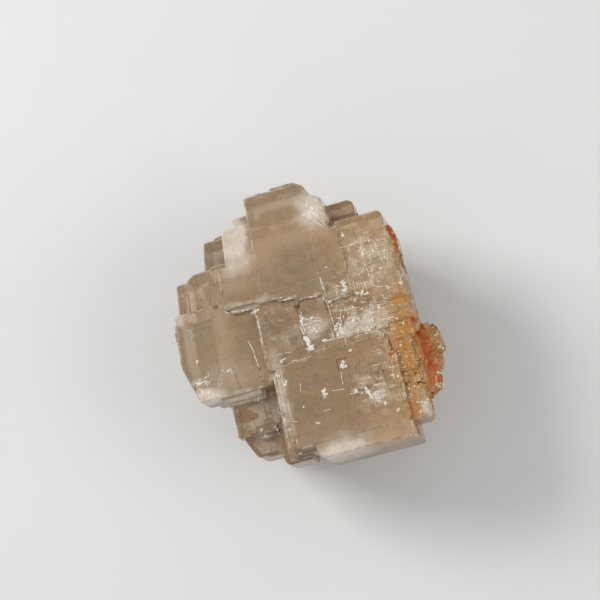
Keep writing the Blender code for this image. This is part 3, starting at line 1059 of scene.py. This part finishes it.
# Cleavage cracks that catch the light: each one's path across the faces, its width, and how much
# of it shows.
CRACKS: tuple[tuple[tuple[Pair, ...], float, float], ...] = (
    # The ledge across the middle, left to right.
    (((-17.9, 7.5), (-16.5, 6.6), (-14.1, 6.1), (-11.1, 6.0)), 0.45, 0.8),
    (((-16.7, 7.5), (-10.5, 7.3), (-6.4, 6.3)), 0.22, 0.55),
    (((-4.9, 6.5), (-2.9, 6.3)), 0.35, 0.95),
    (((-2.7, 5.5), (-1.4, 5.6), (0.4, 5.5)), 0.35, 1.0),
    (((1.4, 4.6), (2.7, 4.7)), 0.3, 0.9),
    (((3.6, 4.6), (5.1, 4.5), (5.3, 4.1)), 0.32, 1.0),
    (((8.3, 2.4), (9.3, 2.5), (10.5, 2.5)), 0.3, 0.9),
    # Down from the ledge, beside the left cube.
    (((-10.9, 5.9), (-10.2, 4.7), (-8.9, 5.3)), 0.8, 1.0),
    (((-10.2, 4.7), (-9.8, 3.5)), 0.7, 1.0),
    (((-9.8, 3.5), (-9.8, 0.3), (-9.9, -2.5)), 0.42, 0.97),
    (((-13.4, -1.5), (-12.8, -3.9), (-12.5, -6.8), (-12.5, -7.8)), 0.33, 0.95),
    (((-10.4, -7.8), (-10.6, -9.3)), 0.3, 0.9),
    (((-9.8, -3.0), (-9.7, -4.8), (-9.7, -7.8), (-9.6, -10.8)), 0.2, 0.35),
    # Round the great cube's left edge.
    (((-10.6, -16.1), (-10.5, -19.9), (-8.4, -22.6), (-5.8, -23.6)), 0.28, 0.8),
    (((-10.8, -16.1), (-10.8, -19.1), (-8.7, -22.7)), 0.24, 0.45),
    # The notch in the middle.
    (((-0.3, -1.6), (0.2, -2.8), (0.5, -5.1)), 0.55, 1.0),
    (((0.3, -4.5), (0.8, -6.7), (1.1, -7.7)), 0.95, 1.0),
    (((0.8, 1.6), (0.7, 0.1), (0.5, -1.6)), 0.4, 0.8),
    (((3.1, -1.1), (4.8, -1.5)), 0.4, 0.9),
    (((0.6, -1.4), (2.0, -1.5), (3.8, -1.5)), 0.3, 0.6),
    # The lattice on the right cube.
    (((13.2, 14.2), (15.5, 14.2), (18.3, 14.2), (21.0, 14.1)), 0.3, 1.0),
    (((21.0, 14.1), (24.2, 13.5)), 0.3, 0.8),
    (((22.2, 12.3), (25.3, 12.0)), 0.22, 0.7),
    (((15.5, 14.0), (15.2, 10.8)), 0.26, 0.9),
    (((22.0, 13.4), (22.1, 10.8), (22.6, 8.7), (23.1, 7.0)), 0.34, 1.0),
    (((18.6, 11.5), (18.5, 9.0), (18.7, 6.0), (18.9, 4.0)), 0.32, 1.0),
    (((19.8, 10.4), (21.1, 10.6)), 0.28, 0.8),
    (((19.7, 8.9), (21.0, 9.4)), 0.25, 0.7),
    (((19.8, 7.5), (21.1, 7.6)), 0.3, 0.7),
    (((24.2, 11.3), (24.3, 7.7), (24.3, 5.7)), 0.28, 0.55),
    # Under the lattice.
    (((8.2, -0.2), (12.3, -0.6), (17.1, -1.1), (21.4, -1.6)), 0.26, 0.9),
    (((10.7, -3.1), (12.0, -2.7), (13.2, -3.0), (14.1, -4.3), (15.6, -3.2)), 0.28, 0.95),
    (((7.4, 2.6), (7.6, -0.0), (7.7, -2.5), (7.9, -5.5)), 0.3, 0.9),
    (((7.9, -5.5), (11.1, -5.7), (13.7, -6.9)), 0.3, 0.45),
    # The great cube's top edge, then its face.
    (((-4.2, -9.0), (-2.1, -9.3), (0.5, -9.3), (1.1, -8.8)), 0.28, 0.75),
    (((4.6, -6.5), (6.0, -6.6), (7.0, -6.3)), 0.5, 0.9),
    (((7.3, -6.1), (9.6, -7.1), (11.3, -7.0)), 0.25, 0.5),
    (((6.9, -14.8), (6.6, -16.7), (6.7, -18.6)), 0.28, 0.9),
    (((3.5, -18.5), (4.9, -18.7), (6.4, -18.8)), 0.25, 0.7),
    (((2.2, -17.7), (1.4, -20.2)), 0.45, 0.5),
    (((0.4, -22.6), (2.3, -22.6)), 0.28, 0.95),
    (((-3.3, -15.2), (-3.6, -17.6)), 0.28, 0.7),
    (((-8.2, -24.9), (-7.0, -24.7)), 0.4, 1.0),
    # The great cube's right side.
    (((15.8, -15.9), (16.1, -18.7), (16.4, -20.7)), 0.3, 0.85),
    (((14.3, -15.3), (16.0, -15.3), (17.7, -15.3)), 0.4, 0.7),
    (((13.7, -19.8), (15.6, -19.8)), 0.4, 0.8),
    (((10.2, -21.0), (11.6, -20.4), (13.8, -20.5)), 0.4, 0.9),
    (((11.7, -20.0), (12.4, -22.1)), 1.1, 1.0),
    (((12.3, -22.3), (13.8, -21.5), (15.0, -21.6)), 0.6, 1.0),
    (((13.6, -23.1), (15.6, -22.7)), 0.5, 0.9),
    (((7.7, -20.4), (10.1, -20.5)), 0.24, 0.9),
    # The left cube's foot and face.
    (((-15.8, -13.4), (-14.5, -13.3), (-13.3, -13.2)), 0.4, 1.0),
    (((-15.7, -15.1), (-14.3, -15.7)), 0.3, 0.8),
    (((-15.7, -15.1), (-14.9, -14.7)), 0.3, 0.8),
    (((-29.3, -8.2), (-27.5, -7.5), (-26.0, -8.4), (-25.4, -9.3), (-24.1, -7.9)), 0.35, 0.85),
    (((-26.9, -3.4), (-26.5, -2.7), (-25.5, -3.0)), 0.3, 1.0),
    (((-21.0, -6.5), (-20.5, -7.6)), 0.3, 0.9),
    (((-20.1, -7.0), (-19.1, -6.7), (-19.0, -7.8)), 0.3, 0.9),
    (((-24.4, -12.5), (-20.6, -12.6), (-17.3, -12.4)), 0.25, 0.5),
    (((-24.5, -13.0), (-20.0, -14.0), (-16.5, -14.3)), 0.2, 0.35),
    # Single lines further out.
    (((11.9, 27.7), (12.0, 25.6), (12.0, 23.6), (12.2, 19.7)), 0.4, 0.95),
    (((-10.3, -30.6), (-7.4, -31.1), (-5.4, -31.0)), 0.2, 0.5),
    (((7.3, 8.3), (7.5, 6.0), (7.7, 3.9)), 0.42, 0.85),
    (((-6.3, 9.9), (-6.5, 7.9)), 0.25, 0.8),
    (((-5.8, 9.0), (-5.6, 7.7)), 0.25, 0.7),
    (((23.5, 2.4), (25.1, 2.2), (26.3, 4.1)), 0.42, 1.0),
    (((18.8, 3.3), (20.6, 2.5), (22.4, 2.2)), 0.35, 0.9),
    (((14.2, 4.5), (17.1, 4.5), (19.1, 4.4)), 0.25, 0.6),
    (((11.7, 3.1), (13.8, 2.8), (16.2, 2.7)), 0.35, 0.6),
    (((12.5, 7.4), (14.4, 7.5), (17.3, 7.1)), 0.2, 0.4),
    (((-29.8, 8.1), (-30.1, 6.1), (-30.6, 2.5)), 0.25, 0.5),
    (((-6.6, 30.8), (-7.2, 27.6)), 0.22, 0.45),
    (((-13.6, 25.7), (-16.2, 24.6), (-16.4, 21.5)), 0.22, 0.5),
    (((3.3, 26.5), (4.3, 26.2)), 0.22, 0.9),
    # The fan on the small cube by the tower.
    (((11.3, 20.9), (10.0, 23.8), (8.5, 27.1)), 0.4, 0.7),
    (((11.6, 21.3), (10.8, 24.3), (10.0, 27.1)), 0.35, 0.8),
    (((12.0, 22.0), (11.6, 24.4), (11.1, 26.3)), 0.3, 0.7),
    (((10.7, 20.5), (8.7, 22.9), (7.2, 24.9)), 0.35, 0.6),
    (((10.0, 22.8), (8.8, 25.2)), 0.5, 0.9),
    (((10.7, 21.5), (9.4, 22.7)), 0.3, 0.6),
    # More about the middle.
    (((1.0, -4.7), (1.1, -7.5)), 0.9, 1.0),
    (((0.4, 0.9), (0.5, -1.6), (0.8, -3.7)), 0.5, 0.9),
    (((11.6, -2.6), (14.8, -2.7), (17.1, -3.1)), 0.3, 0.6),
    (((10.1, 0.2), (9.6, -2.5), (9.5, -5.0)), 0.3, 0.7),
    (((14.1, 1.1), (13.5, -1.6)), 0.25, 0.6),
    (((18.0, -0.0), (17.5, -2.7)), 0.25, 0.6),
    (((11.7, 1.8), (13.4, 1.5), (15.2, 1.5)), 0.3, 0.6),
    (((1.9, -3.0), (3.7, -4.0), (5.4, -4.2)), 0.3, 0.7),
    (((-6.9, -6.8), (-5.2, -6.7), (-3.5, -7.0)), 0.25, 0.6),
    (((-9.2, -11.5), (-9.4, -14.6)), 0.26, 0.35),
    (((-8.6, -17.9), (-8.3, -21.1)), 0.3, 0.6),
    (((19.3, -10.5), (19.6, -12.3), (20.2, -14.9)), 0.26, 0.7),
    (((25.0, 11.5), (24.7, 8.4)), 0.24, 0.7),
    (((10.5, -8.9), (12.5, -8.7)), 0.3, 0.6),
)

# Places where the salt is crushed to white scales: middle, reach across and along, how many.
CRUSHED: tuple[tuple[Pair, Pair, int], ...] = (
    # Across the middle.
    ((-10.0, 5.2), (0.9, 0.6), 9), ((1.2, -7.3), (0.7, 0.9), 22), ((0.9, -5.4), (0.5, 0.8), 10),
    ((0.7, 0.1), (0.4, 1.0), 10), ((2.3, -0.4), (1.1, 0.5), 12), ((3.7, -3.0), (1.2, 1.2), 3),
    ((5.1, -6.4), (0.7, 0.4), 8),
    # The great cube's face, and the cubes above it.
    ((7.7, -13.2), (1.1, 0.9), 26), ((1.8, -18.5), (0.4, 1.0), 7),
    ((8.2, -5.4), (0.4, 1.6), 12), ((9.0, -4.1), (0.8, 1.1), 18), ((12.1, -3.7), (1.6, 0.9), 5),
    ((16.4, -4.9), (1.1, 0.9), 12), ((15.3, -6.5), (0.8, 0.8), 10),
    ((9.4, -2.5), (1.2, 1.0), 3),
    # The great cube's right side.
    ((12.1, -21.2), (0.7, 0.7), 14), ((13.6, -22.1), (1.1, 0.6), 10),
    ((15.2, -24.3), (1.6, 1.2), 10), ((17.5, -26.8), (0.5, 0.3), 4),
    # The fan.
    ((9.3, 25.3), (0.9, 0.9), 30), ((8.2, 26.9), (0.6, 0.6), 10),
    ((10.0, 24.0), (0.8, 0.8), 12), ((8.3, 24.3), (0.8, 0.6), 10),
    # The right cube.
    ((12.3, 5.4), (0.7, 0.7), 12), ((12.4, 3.9), (0.4, 0.5), 5), ((14.8, 17.2), (0.3, 0.9), 7),
    ((9.3, 10.3), (0.3, 0.2), 3), ((21.9, 6.9), (0.3, 0.3), 4), ((18.9, 4.0), (0.3, 0.2), 4),
    ((16.1, 2.3), (0.4, 0.3), 5), ((15.2, 2.5), (0.3, 0.2), 3), ((16.9, 1.8), (0.6, 0.4), 4),
    # The low cubes and the left cube.
    ((-15.9, -23.5), (0.9, 1.1), 12), ((-15.8, -22.2), (0.4, 0.5), 5),
    ((-14.7, -14.7), (0.4, 0.3), 4), ((-19.6, -7.1), (0.4, 0.3), 5),
    ((-26.8, -8.4), (1.6, 0.7), 10), ((-26.8, -2.9), (0.2, 0.2), 2),
    # The great cube's left edge and face.
    ((-8.3, -11.3), (0.6, 2.0), 3), ((-6.6, -11.1), (0.5, 0.9), 2),
    ((-8.9, -22.2), (0.6, 0.5), 3), ((-3.6, -20.5), (0.2, 0.2), 2),
    ((-1.2, -25.1), (0.4, 0.3), 4), ((10.1, -10.3), (0.3, 0.5), 4),
    ((-6.5, -14.1), (0.5, 0.5), 4),
    # The lattice, and the rim above the stain.
    ((25.4, 2.2), (1.1, 0.4), 8), ((22.8, 1.9), (0.8, 0.5), 5), ((21.2, -0.8), (0.9, 0.6), 5),
    ((19.0, -1.7), (1.2, 0.4), 5), ((20.6, 8.7), (1.2, 2.0), 3), ((23.8, 7.8), (0.8, 1.8), 3),
    ((23.4, 11.0), (0.8, 0.8), 2), ((16.1, -1.1), (1.6, 0.5), 6), ((8.0, 1.6), (0.3, 0.8), 4),
    ((14.1, 1.1), (1.4, 0.6), 5),
    # Single places further out, and round the stain.
    ((-12.2, -23.0), (0.4, 1.4), 4), ((-7.9, -30.0), (1.0, 0.3), 3),
    ((-6.0, -8.3), (1.2, 0.5), 4), ((22.6, -25.8), (0.8, 0.8), 5),
    ((24.6, -26.6), (0.8, 0.9), 14), ((23.2, -28.2), (0.8, 0.4), 6),
    ((30.1, -10.1), (0.7, 0.4), 10), ((30.1, -13.1), (0.35, 0.8), 10),
    ((26.9, -21.3), (0.4, 0.5), 6), ((9.0, -20.2), (0.7, 0.3), 6),
)

@dataclass
class CleavageFlakes:
    """Thin white slivers and plates of salt along cracks and broken edges of a body."""

    body: Piece
    name: str = "cleavage_flakes"
    seed: int = 41
    sliver_length: Pair = (0.5, 1.6)
    sliver_width: Pair = (0.5, 1.1)
    sliver_step: float = 0.55
    sliver_tilt: float = 0.04
    plate_size: Pair = (0.22, 0.9)
    plate_shape: Pair = (0.25, 0.75)
    plate_tilt: float = 0.12
    plate_turn: float = 0.14
    spread: float = 0.5
    height: float = 0.6
    proud: Pair = (0.03, 0.14)
    headroom: float = 0.02
    wander: float = 0.05
    stray: float = 0.05

    def __post_init__(self) -> None:
        """Get the probe and the dice out."""
        self.probe = Probe(self.body)
        self.chance = random.Random(self.seed)

    def build(self, finish: FlakeFinish) -> Piece:
        """Model and dress the flakes.

        Args:
            finish: What they are made of.

        Returns:
            All the flakes as one piece.
        """
        sliver, plate = self._sliver(), self._plate()
        parts = []
        for path, width, shown in CRACKS:
            parts += self._along(path, width, shown, sliver)
        for middle, reach, count in CRUSHED:
            parts += self._heap(middle, reach, count, plate)
        Bench.clear_away([sliver, plate])
        flakes = Bench.joined(self.name, parts)
        Bench.dress(flakes, finish.make(), "salt")
        return flakes

    def _sliver(self) -> Piece:
        """Model one splinter, 1 mm long along X, narrow at its ends and along its top.

        Returns:
            The model that the splinters are copied from.
        """
        model = Bench.cuboid("sliver", (0.0, 0.0, 0.0), (1.0, 1.0, 1.0))
        with Bench.editing(model):
            bpy.ops.mesh.subdivide(number_cuts=1)
        for end in (-0.5, 0.5):
            with Bench.editing(model, lambda spot, end=end: abs(spot.x - end) < 0.1):
                bpy.ops.transform.resize(
                    value=(1.0, 0.35, 0.9), center_override=(end * MM, 0.0, 0.0)
                )
        with Bench.editing(model, lambda spot: spot.z > 0.3):
            bpy.ops.transform.resize(value=(0.9, 0.6, 1.0), center_override=(0.0, 0.0, 0.0))
        Bench.roughen(model, 0.07, 3)
        return model

    def _plate(self) -> Piece:
        """Model one cleavage plate, 1 mm square, with a smaller raised square on its top.

        Returns:
            The model that the plates are copied from.
        """
        model = Bench.cuboid("plate", (0.0, 0.0, -0.06), (1.0, 1.0, 0.88))
        with Bench.editing(model, lambda spot: spot.z > 0.3):
            bpy.ops.mesh.inset(thickness=0.2 * MM, depth=0.0)
            bpy.ops.transform.translate(value=(0.08 * MM, 0.05 * MM, 0.12 * MM))
        Bench.roughen(model, 0.08, 8)
        return model

    def _within(self, reach: float) -> float:
        """Throw the dice for a number up to the reach, either way."""
        return self.chance.uniform(-reach, reach)

    def _along(
        self, path: tuple[Pair, ...], width: float, shown: float, sliver: Piece
    ) -> list[Piece]:
        """Lay slivers along a crack.

        Args:
            path: Its corners.
            width: How wide it is at the most.
            shown: The share of it that shows.
            sliver: The model that is copied.

        Returns:
            The slivers.
        """
        laid = []
        for (x0, y0), (x1, y1) in zip(path, path[1:]):
            length = math.hypot(x1 - x0, y1 - y0)
            bearing = math.atan2(y1 - y0, x1 - x0)
            steps = max(1, round(length / self.sliver_step))
            for index in range(steps):
                share = (index + self.chance.random()) / steps
                x = x0 + share * (x1 - x0) + self._within(self.wander)
                y = y0 + share * (y1 - y0) + self._within(self.wander)
                top = self.probe.down_on(x, y)
                if top is None or self.chance.random() > shown:
                    continue
                drawn = self.chance.uniform(*self.sliver_length)
                long = min(drawn, max(length, self.sliver_length[0]))
                sizes = (long, width * self.chance.uniform(*self.sliver_width), self.height)
                tilt = self._within(self.sliver_tilt)
                turn = Euler((0.0, tilt, bearing + self._within(self.stray)))
                laid.append(self._put(sliver, (x, y, top), sizes, turn))
        return laid

    def _heap(self, middle: Pair, reach: Pair, count: int, plate: Piece) -> list[Piece]:
        """Scatter plates over a crushed place, nearly in line with the cube edges.

        Args:
            middle: Its middle.
            reach: How far it reaches along X and along Y.
            count: How many plates.
            plate: The model that is copied.

        Returns:
            The plates.
        """
        laid = []
        for _ in range(count):
            x, y = (middle[i] + self.chance.gauss(0.0, self.spread) * reach[i] for i in range(2))
            top = self.probe.down_on(x, y)
            if top is None:
                continue
            size = self.chance.uniform(*self.plate_size)
            tilts = [self._within(self.plate_tilt) for _ in range(2)]
            turn = Euler((*tilts, self.chance.gauss(0.0, self.plate_turn)))
            lengths = [size, size * self.chance.uniform(*self.plate_shape)]
            if self.chance.random() < 0.5:
                lengths.reverse()
            laid.append(self._put(plate, (x, y, top), (*lengths, self.height), turn))
        return laid

    def _put(self, model: Piece, spot: Triple, sizes: Triple, turn: Euler) -> Piece:
        """Copy a model into the face.

        Args:
            model: The sliver or plate.
            spot: Its place on the face.
            sizes: Its lengths.
            turn: Its turn.

        Returns:
            The copy, sunk so far that little of it stands out.
        """
        x, y, top = spot
        shape = turn.to_matrix().to_4x4() @ Matrix.Diagonal((*sizes, 1.0))
        crown = max((shape @ vertex.co).z for vertex in model.data.vertices) / MM
        level = min(top + self.chance.uniform(*self.proud), CREST - self.headroom) - crown
        return Bench.copy_of(model, Matrix.Translation(Vector((x, y, level)) * MM) @ shape)


@dataclass(frozen=True)
class GrainPatch:
    """An ellipsoid in which the body's surface is covered with grains.

    count is how many grains are tried, size the range of their sides, and tone the range of their
    colour, from rust at 0 to pale at 1.
    """

    middle: Triple
    half: Triple
    count: int
    size: Pair
    tone: Pair

    def holds(self, spot: Vector) -> bool:
        """Whether a place lies inside."""
        return sum(((spot[i] - self.middle[i]) / self.half[i]) ** 2 for i in range(3)) < 1.0


@dataclass
class StainedRim:
    """Small, turned cubes of iron-stained salt, grown over the rim of a body, some of them pale as
    painted glints.
    """

    body: Piece
    name: str = "stained_grains"
    seed: int = 77
    patches: tuple[GrainPatch, ...] = (
        GrainPatch((28.6, -11.8, 27.0), (3.4, 4.4, 7.0), 220, (0.20, 0.60), (0.30, 0.75)),
        GrainPatch((26.0, -21.6, 27.0), (5.4, 5.0, 8.0), 560, (0.20, 0.65), (0.10, 0.60)),
        GrainPatch((22.2, -14.8, 37.0), (4.2, 10.8, 3.8), 2200, (0.12, 0.40), (0.20, 1.0)),
        GrainPatch((21.6, -25.4, 37.4), (1.7, 4.8, 2.8), 240, (0.14, 0.40), (0.25, 0.9)),
        GrainPatch((26.6, -25.0, 27.0), (2.4, 3.0, 8.0), 120, (0.20, 0.50), (0.15, 0.6)),
        GrainPatch((25.6, 14.4, 34.4), (1.1, 3.6, 2.8), 260, (0.18, 0.50), (0.0, 0.35)),
    )
    start: float = 80.0
    out: Pair = (-0.34, 0.06)
    tilt: float = 0.7
    stretch: Pair = (0.6, 1.2)
    # Glint grains are coloured past the ramp's pale end: painted sparkle highlights, gathered where
    # the noise crowds them.
    glint_share: float = 0.22
    glint_tone: float = 1.3
    glint_size: Pair = (0.5, 1.2)
    crowding: float = 0.55
    bare_below: float = 0.30
    unevenness: float = 0.10
    least_way: Triple = (-0.15, -1.0, -0.5)

    def __post_init__(self) -> None:
        """Get the probe, the dice and the box's corners out."""
        self.probe = Probe(self.body)
        self.chance = random.Random(self.seed)
        self.low, self.high = packed_corners()

    def build(self, finish: StainFinish) -> Piece:
        """Model and dress the grains.

        Args:
            finish: What they are made of.

        Returns:
            All the grains as one piece.
        """
        grain = Bench.cuboid("grain", (0.0, 0.0, 0.0), (1.0, 1.0, 1.0))
        Bench.roughen(grain, self.unevenness, 5)
        parts = []
        for patch in self.patches:
            parts += self._cover(patch, grain)
        Bench.clear_away([grain])
        grains = Bench.joined(self.name, parts)
        Bench.dress(grains, finish.make(), "iron_stained_salt")
        return grains

    def _cover(self, patch: GrainPatch, grain: Piece) -> list[Piece]:
        """Cover one patch with grains.

        Args:
            patch: The patch.
            grain: The model that is copied.

        Returns:
            The grains.
        """
        chance = self.chance
        placed = []
        for _ in range(patch.count):
            way = Vector(chance.gauss(0.0, 1.0) for _ in range(3)).normalized()
            way = Vector(max(way[i], self.least_way[i]) for i in range(3)).normalized()
            aim = Vector(
                patch.middle[i] + chance.uniform(-1.0, 1.0) * patch.half[i] for i in range(3)
            )
            crowd = noise.noise(aim * self.crowding) * 0.5 + 0.5
            # Glint grains get the pale tone: painted sparkle highlights.
            glint = chance.random() < self.glint_share * crowd * 2.0
            size = chance.uniform(*patch.size)
            size *= chance.uniform(*self.glint_size) if glint else 1.0
            tone = self.glint_tone if glint else chance.uniform(*patch.tone)
            turn = Euler([chance.uniform(-self.tilt, self.tilt) for _ in range(3)])
            out = chance.uniform(*self.out)
            found = self.probe.touch(aim + way * self.start, -way)
            if found is None or crowd < self.bare_below or not patch.holds(found[0]):
                continue
            spot = found[0] + found[1] * size * out
            if all(self.low[i] + size < spot[i] < self.high[i] - size for i in range(3)):
                place = Matrix.Translation(spot * MM) @ turn.to_matrix().to_4x4()
                lengths = Matrix.Diagonal((size, size * chance.uniform(*self.stretch), size, 1.0))
                placed.append(Bench.copy_of(grain, place @ lengths, tone))
        return placed


@dataclass(frozen=True)
class Softbox:
    """A square lamp that faces the cluster: its place and side in metres, its power in watts."""

    name: str
    spot: Triple
    side: float
    power: float

    def hang(self, aim: Triple) -> None:
        """Hang the lamp.

        Args:
            aim: The place that it faces.
        """
        lamp = bpy.data.lights.new(self.name, "AREA")
        lamp.size = self.side
        lamp.energy = self.power
        box = bpy.data.objects.new(self.name, lamp)
        bpy.context.scene.collection.objects.link(box)
        box.location = self.spot
        box.rotation_mode = "QUATERNION"
        box.rotation_quaternion = (Vector(aim) - Vector(self.spot)).to_track_quat("-Z", "Y")


@dataclass
class Studio:
    """Board, lamps and camera, in metres.

    The camera looks down on the cluster from the side of the lower edge, a little to the right.
    """

    floor_size: float = 8.0
    floor_gap: float = 0.0002
    lamps: tuple[Softbox, ...] = (
        Softbox("key_softbox", (-0.42, 0.34, 0.52), 0.30, 3.2),
        Softbox("fill_softbox", (0.50, -0.20, 0.34), 0.45, 1.2),
    )
    lamp_aim: Triple = (0.0, 0.0, 0.02)
    sky: Colour = (0.86, 0.88, 0.90, 1.0)
    sky_strength: float = 0.56
    lens: float = 100.0
    sensor: float = 36.0
    nearest: float = 0.01
    towards_camera: Pair = (0.156, -0.242)
    roll: float = 15.5
    camera_spot: Triple = (0.0630165, -0.0911139, 0.4180614)

    def build(self) -> None:
        """Set the whole studio up."""
        self._floor()
        for lamp in self.lamps:
            lamp.hang(self.lamp_aim)
        self._sky()
        self._camera()
        bpy.context.scene.view_settings.view_transform = "Standard"

    def _floor(self) -> None:
        """Lay the board just under the resting face."""
        bpy.ops.object.select_all(action="DESELECT")
        bpy.ops.mesh.primitive_plane_add(size=self.floor_size, location=(0.0, 0.0, -self.floor_gap))
        bpy.ops.object.transform_apply(location=True, rotation=True, scale=True)
        board = bpy.context.active_object
        board.name = "pale_board"
        board.data.materials.append(FloorFinish().make())

    def _sky(self) -> None:
        """Fill the room with pale light."""
        world = bpy.data.worlds.new("pale_room")
        bpy.context.scene.world = world
        world.use_nodes = True
        backdrop = world.node_tree.nodes["Background"]
        backdrop.inputs["Color"].default_value = self.sky
        backdrop.inputs["Strength"].default_value = self.sky_strength

    def _camera(self) -> None:
        """Place the camera at the angle of view."""
        lens = bpy.data.cameras.new("camera")
        lens.lens = self.lens
        lens.sensor_width = self.sensor
        lens.clip_start = self.nearest
        camera = bpy.data.objects.new("camera", lens)
        bpy.context.scene.collection.objects.link(camera)
        side, rise = self.towards_camera
        back = Vector((side, rise, math.sqrt(1.0 - side * side - rise * rise)))
        level = (Vector((1.0, 0.0, 0.0)) - back * back.x).normalized()
        above = back.cross(level)
        turn = math.radians(self.roll)
        right = level * math.cos(turn) - above * math.sin(turn)
        upward = level * math.sin(turn) + above * math.cos(turn)
        facing = Matrix((right, upward, back)).transposed().to_4x4()
        camera.matrix_world = Matrix.Translation(self.camera_spot) @ facing
        bpy.context.scene.camera = camera


def main() -> None:
    """Build the pieces in order and report each."""
    logging.basicConfig(level=logging.INFO, format="%(name)s: %(message)s")
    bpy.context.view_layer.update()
    body = CrystalBody().build(SaltFinish())
    flakes = CleavageFlakes(body).build(FlakeFinish())
    grains = StainedRim(body).build(StainFinish())
    for piece in (body, flakes, grains):
        log.info("%s has %d faces", piece.name, len(piece.data.polygons))
    Studio().build()


if __name__ == "__main__":
    main()
